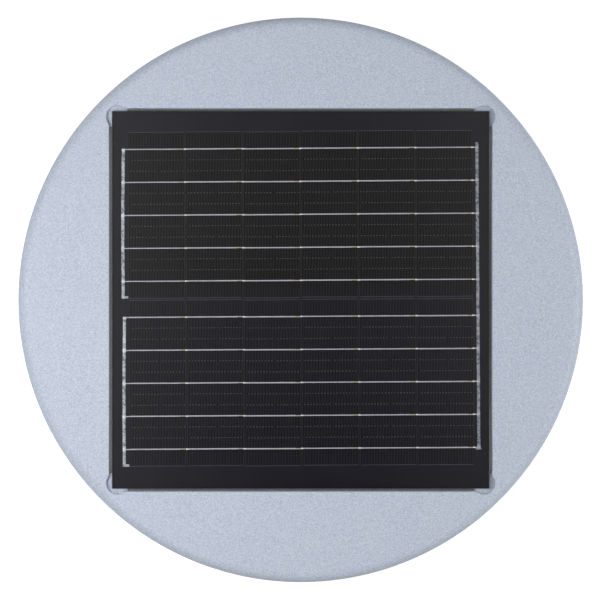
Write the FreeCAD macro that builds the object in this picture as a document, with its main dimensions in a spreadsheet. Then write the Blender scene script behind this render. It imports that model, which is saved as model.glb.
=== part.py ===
import FreeCAD, Part
import math
import os
from types import SimpleNamespace

import Sketcher

# Solar attic fan: a round pan-shaped cover with a square photovoltaic panel let into its top,
# over a roof flange with a riveted throat in which an electric fan turns.
# Frame: millimetres, +Z up, origin at the centre of the seal's underside, where the fan meets the roof.

V = FreeCAD.Vector
UP = V(0, 0, 1)

doc = FreeCAD.newDocument("solar_attic_fan")
sheet = doc.addObject("Spreadsheet::Sheet", "Sizes")

DRIVING_SIZES = {
    # cover: a pressed pan with a flat crown, a slightly falling shoulder and a rounded rim
    "cover_diameter": 533.4,
    "cover_wall": 2.0,
    "crown_height": 165.0,
    "crown_radius": 170.0,
    "shoulder_drop": 3.4,
    "rim_rounding": 10.0,
    "skirt_foot": 86.0,
    "hem_width": 6.0,
    # pocket for the panel, with a round relief bulging out at each corner
    "pocket_half": 180.3,
    "pocket_floor": 158.6,
    "pocket_edge_rounding": 1.2,
    "ear_inset": 7.5,
    "ear_radius": 10.2,
    "ear_blend": 8.0,
    "ear_to_bead": 9.5,
    # panel
    "panel_side": 355.6,
    "tape_thickness": 1.1,
    "tape_width": 12.0,
    "backsheet_thickness": 0.5,
    "cell_gap_to_glass": 0.6,
    "glass_thickness": 3.2,
    "edge_seal_width": 6.0,
    "sealant_height": 4.0,
    # cells: thirds of a wafer, in two strings
    "cell_length": 156.75,
    "cell_width": 52.9,
    "cell_thickness": 0.2,
    "cell_pitch": 54.3,
    "cells_centre_x": 0.2,
    "string_centre_y": 79.2,
    "strings_shift_y": 1.45,
    "busbar_pitch": 31.1,
    "ribbon_width": 1.1,
    "ribbon_thickness": 0.2,
    "ribbon_end_gap": 5.0,
    "bus_width": 3.2,
    "bus_left_x": -167.2,
    "bus_right_x": 167.0,
    "bus_past_first_ribbon": 0.7,
    "bus_past_last_ribbon": 1.0,
    "right_bus_overshoot": 4.5,
    "bus_foot": 3.0,
    "bus_cross_foot": 1.2,
    # roof flange, inlet ring, throat collar and seal
    "seal_thickness": 3.0,
    "seal_inner_radius": 202.0,
    "seal_outer_radius": 240.0,
    "sheet_thickness": 1.5,
    "flange_radius": 245.0,
    "flange_lip": 5.0,
    "throat_radius": 160.0,
    "inlet_rounding": 9.0,
    "inlet_foot_radius": 182.0,
    "inlet_rivet_circle": 351.0,
    "spigot_top": 32.0,
    "collar_foot": 15.0,
    "collar_play": 0.1,
    "rivet_height": 22.0,
    "rivet_radius": 1.6,
    "rivet_head_radius": 3.0,
    "rivet_tail_radius": 2.6,
    "throat_top": 95.0,
    "throat_rim_radius": 184.0,
    "throat_lip": 6.0,
    "roof_hole_circle": 440.0,
    "roof_hole_radius": 3.25,
    # screen
    "screen_radius": 178.0,
    "screen_thickness": 0.8,
    "slot_width": 6.0,
    "slot_height": 15.0,
    "slot_pitch": 18.5,
    # brackets between the throat's rim and the cover
    "rim_bolt_radius": 170.0,
    "bracket_web_radius": 163.0,
    "bracket_foot_radius": 176.5,
    "bracket_thickness": 2.0,
    "bracket_width": 30.0,
    "bolt_radius": 2.0,
    "bolt_clearance": 0.2,
    "nut_across": 7.0,
    "nut_height": 3.2,
    "stud_length": 14.0,
    # motor bracket
    "arm_height": 98.2,
    "arm_thickness": 2.0,
    "arm_width": 24.0,
    "arm_reach": 176.5,
    "spider_radius": 47.0,
    "arm_rib_depth": 6.0,
    "arm_rib_thickness": 1.6,
    "arm_rib_start": 40.0,
    "arm_rib_end": 156.0,
    "arm_slot_width": 8.0,
    "air_hole_circle": 27.0,
    "air_hole_radius": 5.0,
    "isolator_radius": 7.0,
    "isolator_neck": 4.5,
    "isolator_shoulder": 2.4,
    # motor
    "motor_radius": 46.0,
    "motor_wall": 3.0,
    "motor_floor": 4.0,
    "bearing_seat_lip": 0.5,
    "motor_split": 130.0,
    "motor_top": 143.0,
    "boss_radius": 15.0,
    "boss_foot": 96.2,
    "boss_bore": 6.6,
    "bearing_bore": 8.0,
    "bearing_outside": 22.0,
    "bearing_width": 7.0,
    "bearing_race": 6.0,
    "bearing_ball": 3.9,
    "ball_play": 0.05,
    "stator_bore": 23.8,
    "stator_foot": 110.0,
    "stator_stack": 14.0,
    "yoke_radius": 36.0,
    "tooth_width": 7.0,
    "coil_build": 3.0,
    "coil_inner_end": 26.0,
    "coil_length": 9.0,
    "rotor_radius": 18.0,
    "magnet_radius": 23.2,
    "board_inner_radius": 16.0,
    "board_outer_radius": 42.0,
    "board_height": 128.2,
    "board_thickness": 1.6,
    "lug_circle": 49.2,
    "lug_radius": 5.5,
    "lug_height": 6.0,
    "mount_screw_circle": 34.0,
    "boot_height": 134.5,
    "boot_radius": 3.5,
    "boot_flange_radius": 6.0,
    "boot_flange_end": 5.0,
    "boot_length": 7.0,
    "boot_tip_radius": 4.2,
    "shaft_foot": 51.0,
    "shaft_collar_radius": 5.5,
    "shaft_collar_height": 3.0,
    # fan wheel
    "blade_height": 70.0,
    "blade_tip": 150.0,
    "hub_radius": 38.0,
    "hub_plate": 9.0,
    "hub_boss_radius": 11.0,
    "hub_boss_top": 90.0,
    "shank_radius": 6.0,
    "shank_foot": 17.0,
    "shank_play": 0.3,
    "collar_radius": 8.0,
    "collar_width": 3.0,
    "shaft_fit": 0.02,
    "hub_screw_circle": 30.0,
    "hub_nut_across": 13.0,
    "hub_nut_height": 6.5,
    "small_screw_radius": 1.5,
    # junction box and leads
    "box_length": 90.0,
    "box_width": 50.0,
    "box_height": 22.0,
    "box_wall": 2.0,
    "box_centre_x": -116.0,
    "box_boss_radius": 3.4,
    "box_boss_inset": 5.2,
    "box_window_gap": 3.0,
    "lid_thickness": 2.5,
    "terminal_length": 12.0,
    "terminal_width": 16.0,
    "terminal_height": 9.0,
    "left_terminal": -25.0,
    "right_terminal": 5.0,
    "diode_radius": 2.6,
    "diode_length": 9.0,
    "diode_foot": -14.5,
    "lead_height": 148.0,
    "cable_radius": 2.5,
    "lead_radius": 1.2,
    "gland_x": -95.0,
    "gland_radius": 7.0,
    "gland_thread": 5.0,
    "gland_flange_foot": 3.0,
    "gland_nut_end": 10.0,
    "gland_taper_end": 13.0,
    "gland_mouth": 4.0,
    "gland_length": 16.0,
    "plug_x": -86.0,
    "plug_y": 84.0,
    "plug_length": 17.0,
    "plug_width": 12.0,
    "plug_height": 9.0,
    "socket_width": 14.0,
    "socket_height": 10.0,
    "saddle_strip": 1.2,
    "saddle_tab": 6.0,
    "saddle_width": 8.0,
    # thermal switch on the arm that points to -X
    "switch_x": -110.0,
    "switch_radius": 8.0,
    "switch_height": 9.0,
    "switch_flange": 1.0,
    "switch_flange_half": 16.0,
    "switch_rivet_reach": 12.0,
    "switch_tab_spacing": 8.0,
    "switch_tab_reach": 6.0,
    "switch_tab_thickness": 0.8,
    "switch_tab_width": 4.8,
    "switch_tab_height": 8.0,
}
RIM_BRACKET_ANGLES = (45, 135, 225, 315)
ARM_ANGLES = (60, 180, 300)
LUG_ANGLES = (30, 150, 270)
BLADES = 5
CELLS_IN_STRING = 6
BUSBARS = 5
ROOF_HOLES = 8
THROAT_RIVETS = 8
SCREEN_COLUMNS = 60
STATOR_TEETH = 9
BEARING_BALLS = 7


class Size:
    """A length or an angle that carries its value and the sheet formula that gives it."""

    def __init__(self, value, formula):
        self.value = float(value)
        self.formula = formula

    def joined(self, sign, other, value):
        return Size(value, f"({self.formula} {sign} {formula(other)})")

    def __add__(self, other):
        return self.joined("+", other, self.value + number(other))

    def __sub__(self, other):
        return self.joined("-", other, self.value - number(other))

    def __mul__(self, other):
        return self.joined("*", other, self.value * number(other))

    def __truediv__(self, other):
        return self.joined("/", other, self.value / number(other))

    def __rsub__(self, other):
        return size(other) - self

    def __neg__(self):
        return size(0) - self

    __radd__ = __add__
    __rmul__ = __mul__


def number(x):
    return x.value if isinstance(x, Size) else float(x)


def formula(x):
    return x.formula if isinstance(x, Size) else repr(float(x))


def size(x):
    return x if isinstance(x, Size) else Size(x, formula(x))


def cosine(angle):
    return Size(math.cos(math.radians(number(angle))), f"cos({formula(angle)})")


def sine(angle):
    return Size(math.sin(math.radians(number(angle))), f"sin({formula(angle)})")


# Every driving size is a cell of the sheet, and S gives it by the same name.
for row, (alias, value) in enumerate(DRIVING_SIZES.items(), start=1):
    sheet.set(f"A{row}", alias)
    sheet.set(f"B{row}", str(value))
    sheet.setAlias(f"B{row}", alias)
S = SimpleNamespace(**{alias: Size(value, f"Sizes.{alias}") for alias, value in DRIVING_SIZES.items()})
doc.recompute()

sub_parts = []


def keep(thing, label):
    """Names a finished sub-part and puts it on the list of what is written out."""
    thing.Label = label
    sub_parts.append(thing)
    return thing


def place(thing, x=0.0, y=0.0, z=0.0, angle=0.0, axis=UP):
    """Puts a piece at a point that follows the sheet, turned about an axis."""
    thing.Placement = FreeCAD.Placement(V(number(x), number(y), number(z)), FreeCAD.Rotation(axis, angle))
    for name, value in (("x", x), ("y", y), ("z", z)):
        if isinstance(value, Size):
            thing.setExpression(f"Placement.Base.{name}", value.formula)
    return thing


# ---- sketches -------------------------------------------------------------------------------------


def new_body(name):
    return doc.addObject("PartDesign::Body", name)


def origin_feature(body, role):
    return next(f for f in body.Origin.OriginFeatures if f.Role == role)


def new_sketch(body, plane="XY_Plane", offset=None):
    sketch = body.newObject("Sketcher::SketchObject", f"{body.Name}_sketch")
    sketch.AttachmentSupport = (origin_feature(body, plane), [""])
    sketch.MapMode = "FlatFace"
    if offset is not None:
        sketch.AttachmentOffset = FreeCAD.Placement(V(0, 0, number(offset)), FreeCAD.Rotation())
        sketch.setExpression("AttachmentOffset.Base.z", formula(offset))
    return sketch


def rule(sketch, kind, *where, value):
    """Adds a dimension that follows the sheet."""
    index = sketch.addConstraint(Sketcher.Constraint(kind, *where, number(value)))
    sketch.setExpression(f"Constraints[{index}]", formula(value))


def pin_down(sketch, geometry, vertex, x, y):
    """Fixes a sketch point by its distances from the origin."""
    rule(sketch, "DistanceX", -1, 1, geometry, vertex, value=x)
    rule(sketch, "DistanceY", -1, 1, geometry, vertex, value=y)


def circle(sketch, x, y, radius):
    centre = V(number(x), number(y), 0)
    geometry = sketch.addGeometry(Part.Circle(centre, UP, number(radius)), False)
    pin_down(sketch, geometry, 3, x, y)
    rule(sketch, "Radius", geometry, value=radius)


def rounded_corner(before, corner, after, radius):
    """The centre and the two tangent points of an arc that rounds a corner."""
    towards_before = (before - corner).normalize()
    towards_after = (after - corner).normalize()
    half_angle = towards_before.getAngle(towards_after) / 2
    reach = radius / math.tan(half_angle)
    bisector = (towards_before + towards_after).normalize()
    centre = corner + bisector * (radius / math.sin(half_angle))
    return centre, corner + towards_before * reach, corner + towards_after * reach


def arc_between(centre, start, end):
    """The shorter arc from start to end, and the vertices (start first) that Sketcher gives them."""
    first = math.atan2(start.y - centre.y, start.x - centre.x)
    last = math.atan2(end.y - centre.y, end.x - centre.x)
    base = Part.Circle(centre, UP, (start - centre).Length)
    if (last - first) % (2 * math.pi) < math.pi:
        return Part.ArcOfCircle(base, first, last), (1, 2)
    return Part.ArcOfCircle(base, last, first), (2, 1)


def outline(sketch, corners):
    """A closed outline of straight sides through corners (x, y) or (x, y, radius), each dimensioned."""
    corners = [tuple(c) + (0.0,) * (3 - len(c)) for c in corners]
    points = [V(number(x), number(y), 0) for x, y, _ in corners]
    count = len(points)
    arrive, leave, centres = [], [], []
    for i, (point, corner) in enumerate(zip(points, corners)):
        radius = number(corner[2])
        if radius:
            centre, start, end = rounded_corner(points[i - 1], point, points[(i + 1) % count], radius)
        else:
            centre, start, end = None, point, point
        centres.append(centre)
        arrive.append(start)
        leave.append(end)
    sides = [
        sketch.addGeometry(Part.LineSegment(leave[i], arrive[(i + 1) % count]), False) for i in range(count)
    ]
    for i, (x, y, radius) in enumerate(corners):
        before, after = sides[i - 1], sides[i]
        if centres[i] is None:
            sketch.addConstraint(Sketcher.Constraint("Coincident", before, 2, after, 1))
            pin_down(sketch, after, 1, x, y)
            continue
        arc, (start, end) = arc_between(centres[i], arrive[i], leave[i])
        bend = sketch.addGeometry(arc, False)
        mark = sketch.addGeometry(Part.Point(points[i]), True)
        pin_down(sketch, mark, 1, x, y)
        sketch.addConstraint(Sketcher.Constraint("PointOnObject", mark, 1, before))
        sketch.addConstraint(Sketcher.Constraint("PointOnObject", mark, 1, after))
        sketch.addConstraint(Sketcher.Constraint("Tangent", before, 2, bend, start))
        sketch.addConstraint(Sketcher.Constraint("Tangent", bend, end, after, 1))
        rule(sketch, "Radius", bend, value=radius)


def box_corners(x0, y0, x1, y1, radius=0.0):
    return [(x0, y0, radius), (x1, y0, radius), (x1, y1, radius), (x0, y1, radius)]


# ---- features -------------------------------------------------------------------------------------


def turn(body, sketch, axis="V_Axis"):
    feature = body.newObject("PartDesign::Revolution", f"{body.Name}_turn")
    feature.Profile = sketch
    feature.ReferenceAxis = (sketch, [axis])
    feature.Angle = 360
    doc.recompute()
    return feature


def pad(body, sketch, length, symmetric=False):
    feature = body.newObject("PartDesign::Pad", f"{body.Name}_pad")
    feature.Profile = sketch
    feature.Length = number(length)
    feature.setExpression("Length", formula(length))
    if symmetric:
        feature.SideType = "Symmetric"
    doc.recompute()
    return feature


def cut_away(body, sketch, length=None, reverse=True):
    """A pocket out of a body, and right through where no length is given.

    It runs along the sketch's normal, or against it where reverse is False.
    """
    before = body.Shape.Volume
    feature = body.newObject("PartDesign::Pocket", f"{body.Name}_pocket")
    feature.Profile = sketch
    feature.Reversed = reverse
    if length is None:
        feature.Type = "ThroughAll"
    else:
        feature.Length = number(length)
        feature.setExpression("Length", formula(length))
    doc.recompute()
    if not 0 < body.Shape.Volume < before - 1e-3:
        raise RuntimeError(f"{feature.Name} cuts nothing, or everything")
    return feature


def repeat_round(body, features, count):
    pattern = body.newObject("PartDesign::PolarPattern", f"{body.Name}_round")
    pattern.Originals = features
    pattern.Axis = (origin_feature(body, "Z_Axis"), [""])
    pattern.Angle = 360
    pattern.Occurrences = count
    body.Tip = pattern
    doc.recompute()
    return pattern


def turned(name, corners):
    """A body turned about Z from a profile of (radius, height) corners."""
    body = new_body(name)
    sketch = new_sketch(body, "XZ_Plane")
    outline(sketch, corners)
    turn(body, sketch)
    return body


def ring(name, inner, outer, foot, top, rounding=0.0):
    return turned(name, box_corners(inner, foot, outer, top, rounding))


def plate(name, corners, foot, thickness):
    """A flat plate or a block of the given outline, standing on height foot."""
    body = new_body(name)
    sketch = new_sketch(body, "XY_Plane", foot)
    outline(sketch, corners)
    pad(body, sketch, thickness)
    return body


def drill(body, holes, radius, foot, depth=None):
    """Round holes upwards from height foot, at (x, y) points."""
    sketch = new_sketch(body, "XY_Plane", foot)
    for x, y in holes:
        circle(sketch, x, y, radius)
    return cut_away(body, sketch, depth)


def polar(radius, angle):
    return radius * cosine(angle), radius * sine(angle)


def subtract(name, base, tool):
    feature = doc.addObject("Part::Cut", name)
    feature.Base = base
    feature.Tool = tool
    doc.recompute()
    return feature


def at(x=0.0, y=0.0, z=0.0, angle=0.0, axis=UP):
    return FreeCAD.Placement(V(number(x), number(y), number(z)), FreeCAD.Rotation(axis, angle))


def round_places(radius, angles, z=0.0):
    """Places on a circle, each turned to face outwards."""
    return [at(*polar(radius, a), z, a) for a in angles]


def lying_outwards(places):
    """The same places, each tipped over so that its own Z axis points outwards."""
    tip = FreeCAD.Placement(V(), FreeCAD.Rotation(V(0, 1, 0), 90))
    return [p * tip for p in places]


def turned_over(place_above):
    """The same place, upside down."""
    return FreeCAD.Placement(place_above.Base, FreeCAD.Rotation(V(1, 0, 0), 180))


def copies(name, source, places):
    """One object that holds a copy of the source piece at each place."""
    row = doc.addObject("App::Link", f"{name}_row")
    row.LinkedObject = source
    row.ShowElement = False
    row.ElementCount = len(places)
    row.PlacementList = places
    group = doc.addObject("Part::Compound", name)
    group.Links = [row]
    doc.recompute()
    return group


def together(name, pieces):
    group = doc.addObject("Part::Compound", name)
    group.Links = pieces
    doc.recompute()
    return group


def hexagon(name, across_flats, foot, height, bore):
    """A hexagon prism about Z with a bore, such as a nut."""
    body = new_body(name)
    sketch = new_sketch(body, "XY_Plane", foot)
    corner_radius = size(across_flats) / 2 / cosine(30)
    outline(sketch, [polar(corner_radius, a) for a in range(0, 360, 60)])
    circle(sketch, 0, 0, bore)
    pad(body, sketch, height)
    return body


def machine_screw(name, shank_radius, length, head_radius, head_height, socket_radius):
    """A pan-head screw standing on its tip along Z: the head's seat is at height 0."""
    body = turned(
        name,
        [
            (0, -size(length)),
            (size(shank_radius) * 0.8, -size(length)),
            (shank_radius, size(shank_radius) * 0.4 - length),
            (shank_radius, 0),
            (head_radius, 0),
            (head_radius, head_height, size(head_height) * 0.55),
            (0, head_height),
        ],
    )
    socket = new_sketch(body, "XY_Plane", size(head_height) * 0.35)
    outline(socket, [polar(size(socket_radius), a) for a in range(0, 360, 60)])
    cut_away(body, socket)
    return body


# ---- cover ----------------------------------------------------------------------------------------

cover_radius = S.cover_diameter / 2
shoulder_height = S.crown_height - S.shoulder_drop
SHOULDER_ROUNDING = 200.0
ABOVE_COVER = 5.0


def eared_block(name, half, ear, blend, foot, top):
    """A block with a square outline whose corners bulge out in round ears, blended into the sides."""
    body = new_body(name)
    sketch = new_sketch(body, "XY_Plane", foot)
    centre = S.pocket_half - S.ear_inset
    c, h, r, b = number(centre), number(half), number(ear), number(blend)
    run = math.sqrt((r + b) ** 2 - (h + b - c) ** 2)
    reach = c - run
    lean = r / (r + b)
    corner_turns = (0, 90, 180, 270)
    sides, ears, blends_in, blends_out = [], [], [], []
    for angle in corner_turns:
        spin = FreeCAD.Rotation(UP, angle).multVec
        side_start, side_end, next_side = (spin(V(*p, 0)) for p in ((h, -reach), (h, reach), (reach, h)))
        blend_in, blend_out, middle = (spin(V(*p, 0)) for p in ((h + b, reach), (reach, h + b), (c, c)))
        ear_start = middle + (blend_in - middle) * lean
        ear_end = middle + (blend_out - middle) * lean
        sides.append(sketch.addGeometry(Part.LineSegment(side_start, side_end), False))
        arc, ends = arc_between(blend_in, side_end, ear_start)
        blends_in.append((sketch.addGeometry(arc, False), ends))
        first = math.atan2(ear_start.y - middle.y, ear_start.x - middle.x)
        last = math.atan2(ear_end.y - middle.y, ear_end.x - middle.x)
        ear_arc = Part.ArcOfCircle(Part.Circle(middle, UP, r), first, last)
        ears.append(sketch.addGeometry(ear_arc, False))
        arc, ends = arc_between(blend_out, ear_end, next_side)
        blends_out.append((sketch.addGeometry(arc, False), ends))
    for i, angle in enumerate(corner_turns):
        along_y = angle in (0, 180)
        sketch.addConstraint(Sketcher.Constraint("Vertical" if along_y else "Horizontal", sides[i]))
        sign = 1 if angle in (0, 90) else -1
        rule(sketch, "DistanceX" if along_y else "DistanceY", -1, 1, sides[i], 1, value=size(half) * sign)
        x_sign = 1 if angle in (0, 270) else -1
        y_sign = 1 if angle in (0, 90) else -1
        pin_down(sketch, ears[i], 3, centre * x_sign, centre * y_sign)
        rule(sketch, "Radius", ears[i], value=ear)
        into, (into_start, into_end) = blends_in[i]
        out, (out_start, out_end) = blends_out[i]
        rule(sketch, "Radius", into, value=blend)
        rule(sketch, "Radius", out, value=blend)
        sketch.addConstraint(Sketcher.Constraint("Tangent", sides[i], 2, into, into_start))
        sketch.addConstraint(Sketcher.Constraint("Tangent", into, into_end, ears[i], 1))
        sketch.addConstraint(Sketcher.Constraint("Tangent", ears[i], 2, out, out_start))
        sketch.addConstraint(Sketcher.Constraint("Tangent", out, out_end, sides[(i + 1) % 4], 1))
    pad(body, sketch, size(top) - foot)
    return body


def round_pocket_edges(shape_object):
    """Rounds the edges where the pocket's walls meet the cover's top."""
    near, far = number(S.pocket_half) - 4, number(S.pocket_half) + 6
    low = number(S.pocket_floor) + 1.5
    chosen = []
    for index, edge in enumerate(shape_object.Shape.Edges, start=1):
        middle = edge.valueAt((edge.FirstParameter + edge.LastParameter) / 2)
        if edge.BoundBox.ZMin > low and near < max(abs(middle.x), abs(middle.y)) < far:
            if math.hypot(middle.x, middle.y) < number(cover_radius) - number(S.rim_rounding) + 4:
                chosen.append(index)
    feature = doc.addObject("Part::Fillet", "cover_rounded")
    feature.Base = shape_object
    radius = number(S.pocket_edge_rounding)
    feature.Edges = [(index, radius, radius) for index in chosen]
    doc.recompute()
    return feature


def make_cover():
    wall = S.cover_wall
    solid_pan = turned(
        "pan_outside",
        [
            (0, S.crown_height),
            (S.crown_radius, S.crown_height, SHOULDER_ROUNDING),
            (cover_radius, shoulder_height, S.rim_rounding),
            (cover_radius, S.skirt_foot, wall * 0.4),
            (0, S.skirt_foot),
        ],
    )
    inside = turned(
        "pan_inside",
        [
            (0, S.crown_height - wall),
            (S.crown_radius, S.crown_height - wall, SHOULDER_ROUNDING - number(wall)),
            (cover_radius - wall, shoulder_height - wall, S.rim_rounding - wall),
            (cover_radius - wall, S.skirt_foot + wall),
            (cover_radius - wall - S.hem_width, S.skirt_foot + wall, wall * 0.4),
            (cover_radius - wall - S.hem_width, S.skirt_foot - wall),
            (0, S.skirt_foot - wall),
        ],
    )
    above = S.crown_height + ABOVE_COVER
    tray = eared_block(
        "tray_block",
        S.pocket_half + wall,
        S.ear_radius + wall,
        S.ear_blend - wall,
        S.pocket_floor - wall,
        above,
    )
    recess = eared_block("pocket_block", S.pocket_half, S.ear_radius, S.ear_blend, S.pocket_floor, above)
    hollow = subtract("pan_hollow", inside, tray)
    pan = subtract("pan_with_tray", solid_pan, hollow)
    stud_hole = turned("stud_hole", box_corners(0, S.pocket_floor - wall * 2, S.bolt_radius + 0.05, above))
    stud_holes = copies("stud_holes", stud_hole, round_places(S.rim_bolt_radius, RIM_BRACKET_ANGLES))
    half_x, half_y = S.box_length / 2 + S.box_window_gap, S.box_width / 2 + S.box_window_gap
    window = plate(
        "box_window",
        box_corners(S.box_centre_x - half_x, -half_y, S.box_centre_x + half_x, half_y, 4.0),
        S.pocket_floor - wall * 2,
        above - S.pocket_floor,
    )
    open_pan = subtract("pan_with_pocket", pan, recess)
    bored_pan = subtract("pan_with_holes", open_pan, together("floor_openings", [stud_holes, window]))
    keep(round_pocket_edges(bored_pan), "cover")


# ---- photovoltaic panel ---------------------------------------------------------------------------

panel_half = S.panel_side / 2
tape_top = S.pocket_floor + S.tape_thickness
backsheet_top = tape_top + S.backsheet_thickness
glass_foot = backsheet_top + S.cell_gap_to_glass
ribbon_foot = backsheet_top + S.cell_thickness


def square_frame(name, half, width, foot, thickness):
    body = new_body(name)
    sketch = new_sketch(body, "XY_Plane", foot)
    outline(sketch, box_corners(-size(half), -size(half), half, half))
    inner = size(half) - width
    outline(sketch, box_corners(-inner, -inner, inner, inner))
    pad(body, sketch, thickness)
    return body


def block(name, length, width, height):
    """A plain block with its middle over the origin."""
    half_x, half_y = size(length) / 2, size(width) / 2
    return plate(name, box_corners(-half_x, -half_y, half_x, half_y), 0, height)


def make_panel():
    tape_half = panel_half - 2
    keep(square_frame("panel_tape", tape_half, S.tape_width, S.pocket_floor, S.tape_thickness), "panel_tape")
    flat = box_corners(-panel_half, -panel_half, panel_half, panel_half)
    keep(plate("panel_backsheet", flat, tape_top, S.backsheet_thickness), "panel_backsheet")
    keep(
        square_frame("panel_edge_seal", panel_half, S.edge_seal_width, backsheet_top, S.cell_gap_to_glass),
        "panel_edge_seal",
    )
    keep(plate("panel_glass", flat, glass_foot, S.glass_thickness), "panel_glass")
    gap = S.pocket_half - panel_half
    between_ears = (S.pocket_half - S.ear_inset - S.ear_to_bead) * 2
    bead = block("sealant_bead", between_ears, gap, S.sealant_height)
    middle = number(panel_half + gap / 2)
    places = [at(0, -middle, S.pocket_floor), at(0, middle, S.pocket_floor)]
    places += [at(-middle, 0, S.pocket_floor, 90), at(middle, 0, S.pocket_floor, 90)]
    keep(copies("panel_sealant", bead, places), "panel_sealant")


def cell_left(column):
    """The left edge of a cell, counted from the panel's left."""
    return S.cells_centre_x + S.cell_pitch * (column - (CELLS_IN_STRING - 1) / 2) - S.cell_width / 2


def make_cells():
    cell = block("cell", S.cell_width, S.cell_length, S.cell_thickness)
    for label, side in (("cells_upper_string", 1), ("cells_lower_string", -1)):
        centre_y = S.strings_shift_y + S.string_centre_y * side
        middles = [cell_left(i) + S.cell_width / 2 for i in range(CELLS_IN_STRING)]
        places = [at(x, centre_y, backsheet_top) for x in middles]
        keep(copies(label, cell, places), label)
    make_ribbons()
    make_bus_strips()


def busbar_heights():
    """The Y of every busbar, from the top string's first to the bottom string's last."""
    offsets = [S.busbar_pitch * ((BUSBARS - 1) / 2 - i) for i in range(BUSBARS)]
    centres = [S.strings_shift_y + S.string_centre_y * side for side in (1, -1)]
    return [centre + offset for centre in centres for offset in offsets]


def make_ribbons():
    gap = S.cell_pitch - S.cell_width
    over_cell = block("ribbon", S.cell_pitch - S.ribbon_end_gap, S.ribbon_width, S.ribbon_thickness)
    first_length = cell_left(0) + S.cell_width - S.ribbon_end_gap - S.bus_left_x
    first = block("first_ribbon", first_length, S.ribbon_width, S.ribbon_thickness)
    tail_start = cell_left(CELLS_IN_STRING - 1) + S.cell_width - gap / 2
    tail = block("last_ribbon", S.bus_right_x - tail_start, S.ribbon_width, S.ribbon_thickness)
    middles = [cell_left(i) - gap + (S.cell_pitch - S.ribbon_end_gap) / 2 for i in range(1, CELLS_IN_STRING)]
    heights = busbar_heights()
    first_middle = S.bus_left_x + first_length / 2
    tail_middle = (tail_start + S.bus_right_x) / 2
    rows = [
        copies("ribbons_on_cells", over_cell, [at(x, y, ribbon_foot) for y in heights for x in middles]),
        copies("ribbons_from_bus", first, [at(first_middle, y, ribbon_foot) for y in heights]),
        copies("ribbons_to_bus", tail, [at(tail_middle, y, ribbon_foot) for y in heights]),
    ]
    keep(together("cell_ribbons", rows), "cell_ribbons")


def make_bus_strips():
    """Cross strips: one beside each string's left end, each with a foot, and one shared on the right."""
    heights = busbar_heights()
    half, foot, cross = S.bus_width / 2, S.bus_foot, S.bus_cross_foot
    strips = []
    for name, side, first in (("upper_left_bus", 1, 0), ("lower_left_bus", -1, BUSBARS)):
        low = S.strings_shift_y + S.string_centre_y * side - S.cell_length / 2
        top = heights[first] + S.bus_past_first_ribbon
        left, right = S.bus_left_x - half, S.bus_left_x + half
        corners = [
            (left, low),
            (right + foot, low),
            (right + foot, low + foot),
            (right, low + foot),
            (right, top),
            (left, top),
        ]
        strips.append(plate(name, corners, backsheet_top, S.cell_thickness))
    low, top = heights[-1] - S.bus_past_last_ribbon, heights[0] + S.right_bus_overshoot
    left, right = S.bus_right_x - half, S.bus_right_x + half
    corners = [
        (left - cross, low - cross),
        (right + cross, low - cross),
        (right + cross, low),
        (right, low),
        (right, top),
        (left, top),
        (left, low),
        (left - cross, low),
    ]
    strips.append(plate("right_bus", corners, backsheet_top, S.cell_thickness))
    keep(together("bus_strips", strips), "bus_strips")


# ---- roof flange, inlet ring, throat collar, seal, screen and cover brackets --------------------------

flange_top = S.seal_thickness + S.sheet_thickness


def rivet_holes(body):
    """Radial holes all round the overlap of the spigot and the collar."""
    inside = 3.0
    sketch = new_sketch(body, "YZ_Plane", S.throat_radius - inside)
    circle(sketch, 0, S.rivet_height, S.rivet_radius)
    hole = cut_away(body, sketch, inside * 3)
    repeat_round(body, [hole], THROAT_RIVETS)


def upright_rivet_spots():
    """Where rivets go down through the inlet ring's foot, midway between the radial ones."""
    step = 360 / THROAT_RIVETS
    return S.inlet_rivet_circle / 2, [step * (i + 0.5) for i in range(THROAT_RIVETS)]


def make_roof_flange():
    """A flat ring of sheet whose outer edge is turned up as a low lip."""
    t = S.sheet_thickness
    lip_top = S.seal_thickness + S.flange_lip
    body = turned(
        "roof_flange",
        [
            (S.throat_radius + S.inlet_rounding, S.seal_thickness),
            (S.flange_radius, S.seal_thickness),
            (S.flange_radius, lip_top),
            (S.flange_radius - t, lip_top),
            (S.flange_radius - t, flange_top, 1.0),
            (S.throat_radius + S.inlet_rounding, flange_top),
        ],
    )
    roof_hole = drill(body, [(S.roof_hole_circle / 2, 0)], S.roof_hole_radius, 0, flange_top + 1)
    repeat_round(body, [roof_hole], ROOF_HOLES)
    radius, angles = upright_rivet_spots()
    body.Tip = drill(body, [polar(radius, a) for a in angles], S.rivet_radius, 0, flange_top + 1)
    keep(body, "roof_flange")
    seal = ring("roof_seal", S.seal_inner_radius, S.seal_outer_radius, 0, S.seal_thickness)
    seal_hole = drill(seal, [(S.roof_hole_circle / 2, 0)], S.roof_hole_radius, -1, S.seal_thickness + 2)
    repeat_round(seal, [seal_hole], ROOF_HOLES)
    keep(seal, "roof_seal")


def make_inlet_ring():
    """A ring with a rounded mouth: its foot lies on the flange and its spigot stands in the collar."""
    t = S.sheet_thickness
    r = S.throat_radius
    body = turned(
        "inlet_ring",
        [
            (r, flange_top, S.inlet_rounding),
            (S.inlet_foot_radius, flange_top),
            (S.inlet_foot_radius, flange_top + t),
            (r + t, flange_top + t, S.inlet_rounding - t),
            (r + t, S.spigot_top),
            (r, S.spigot_top),
        ],
    )
    radius, angles = upright_rivet_spots()
    body.Tip = drill(body, [polar(radius, a) for a in angles], S.rivet_radius, flange_top - 1, t + 2)
    rivet_holes(body)
    keep(body, "inlet_ring")


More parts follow.
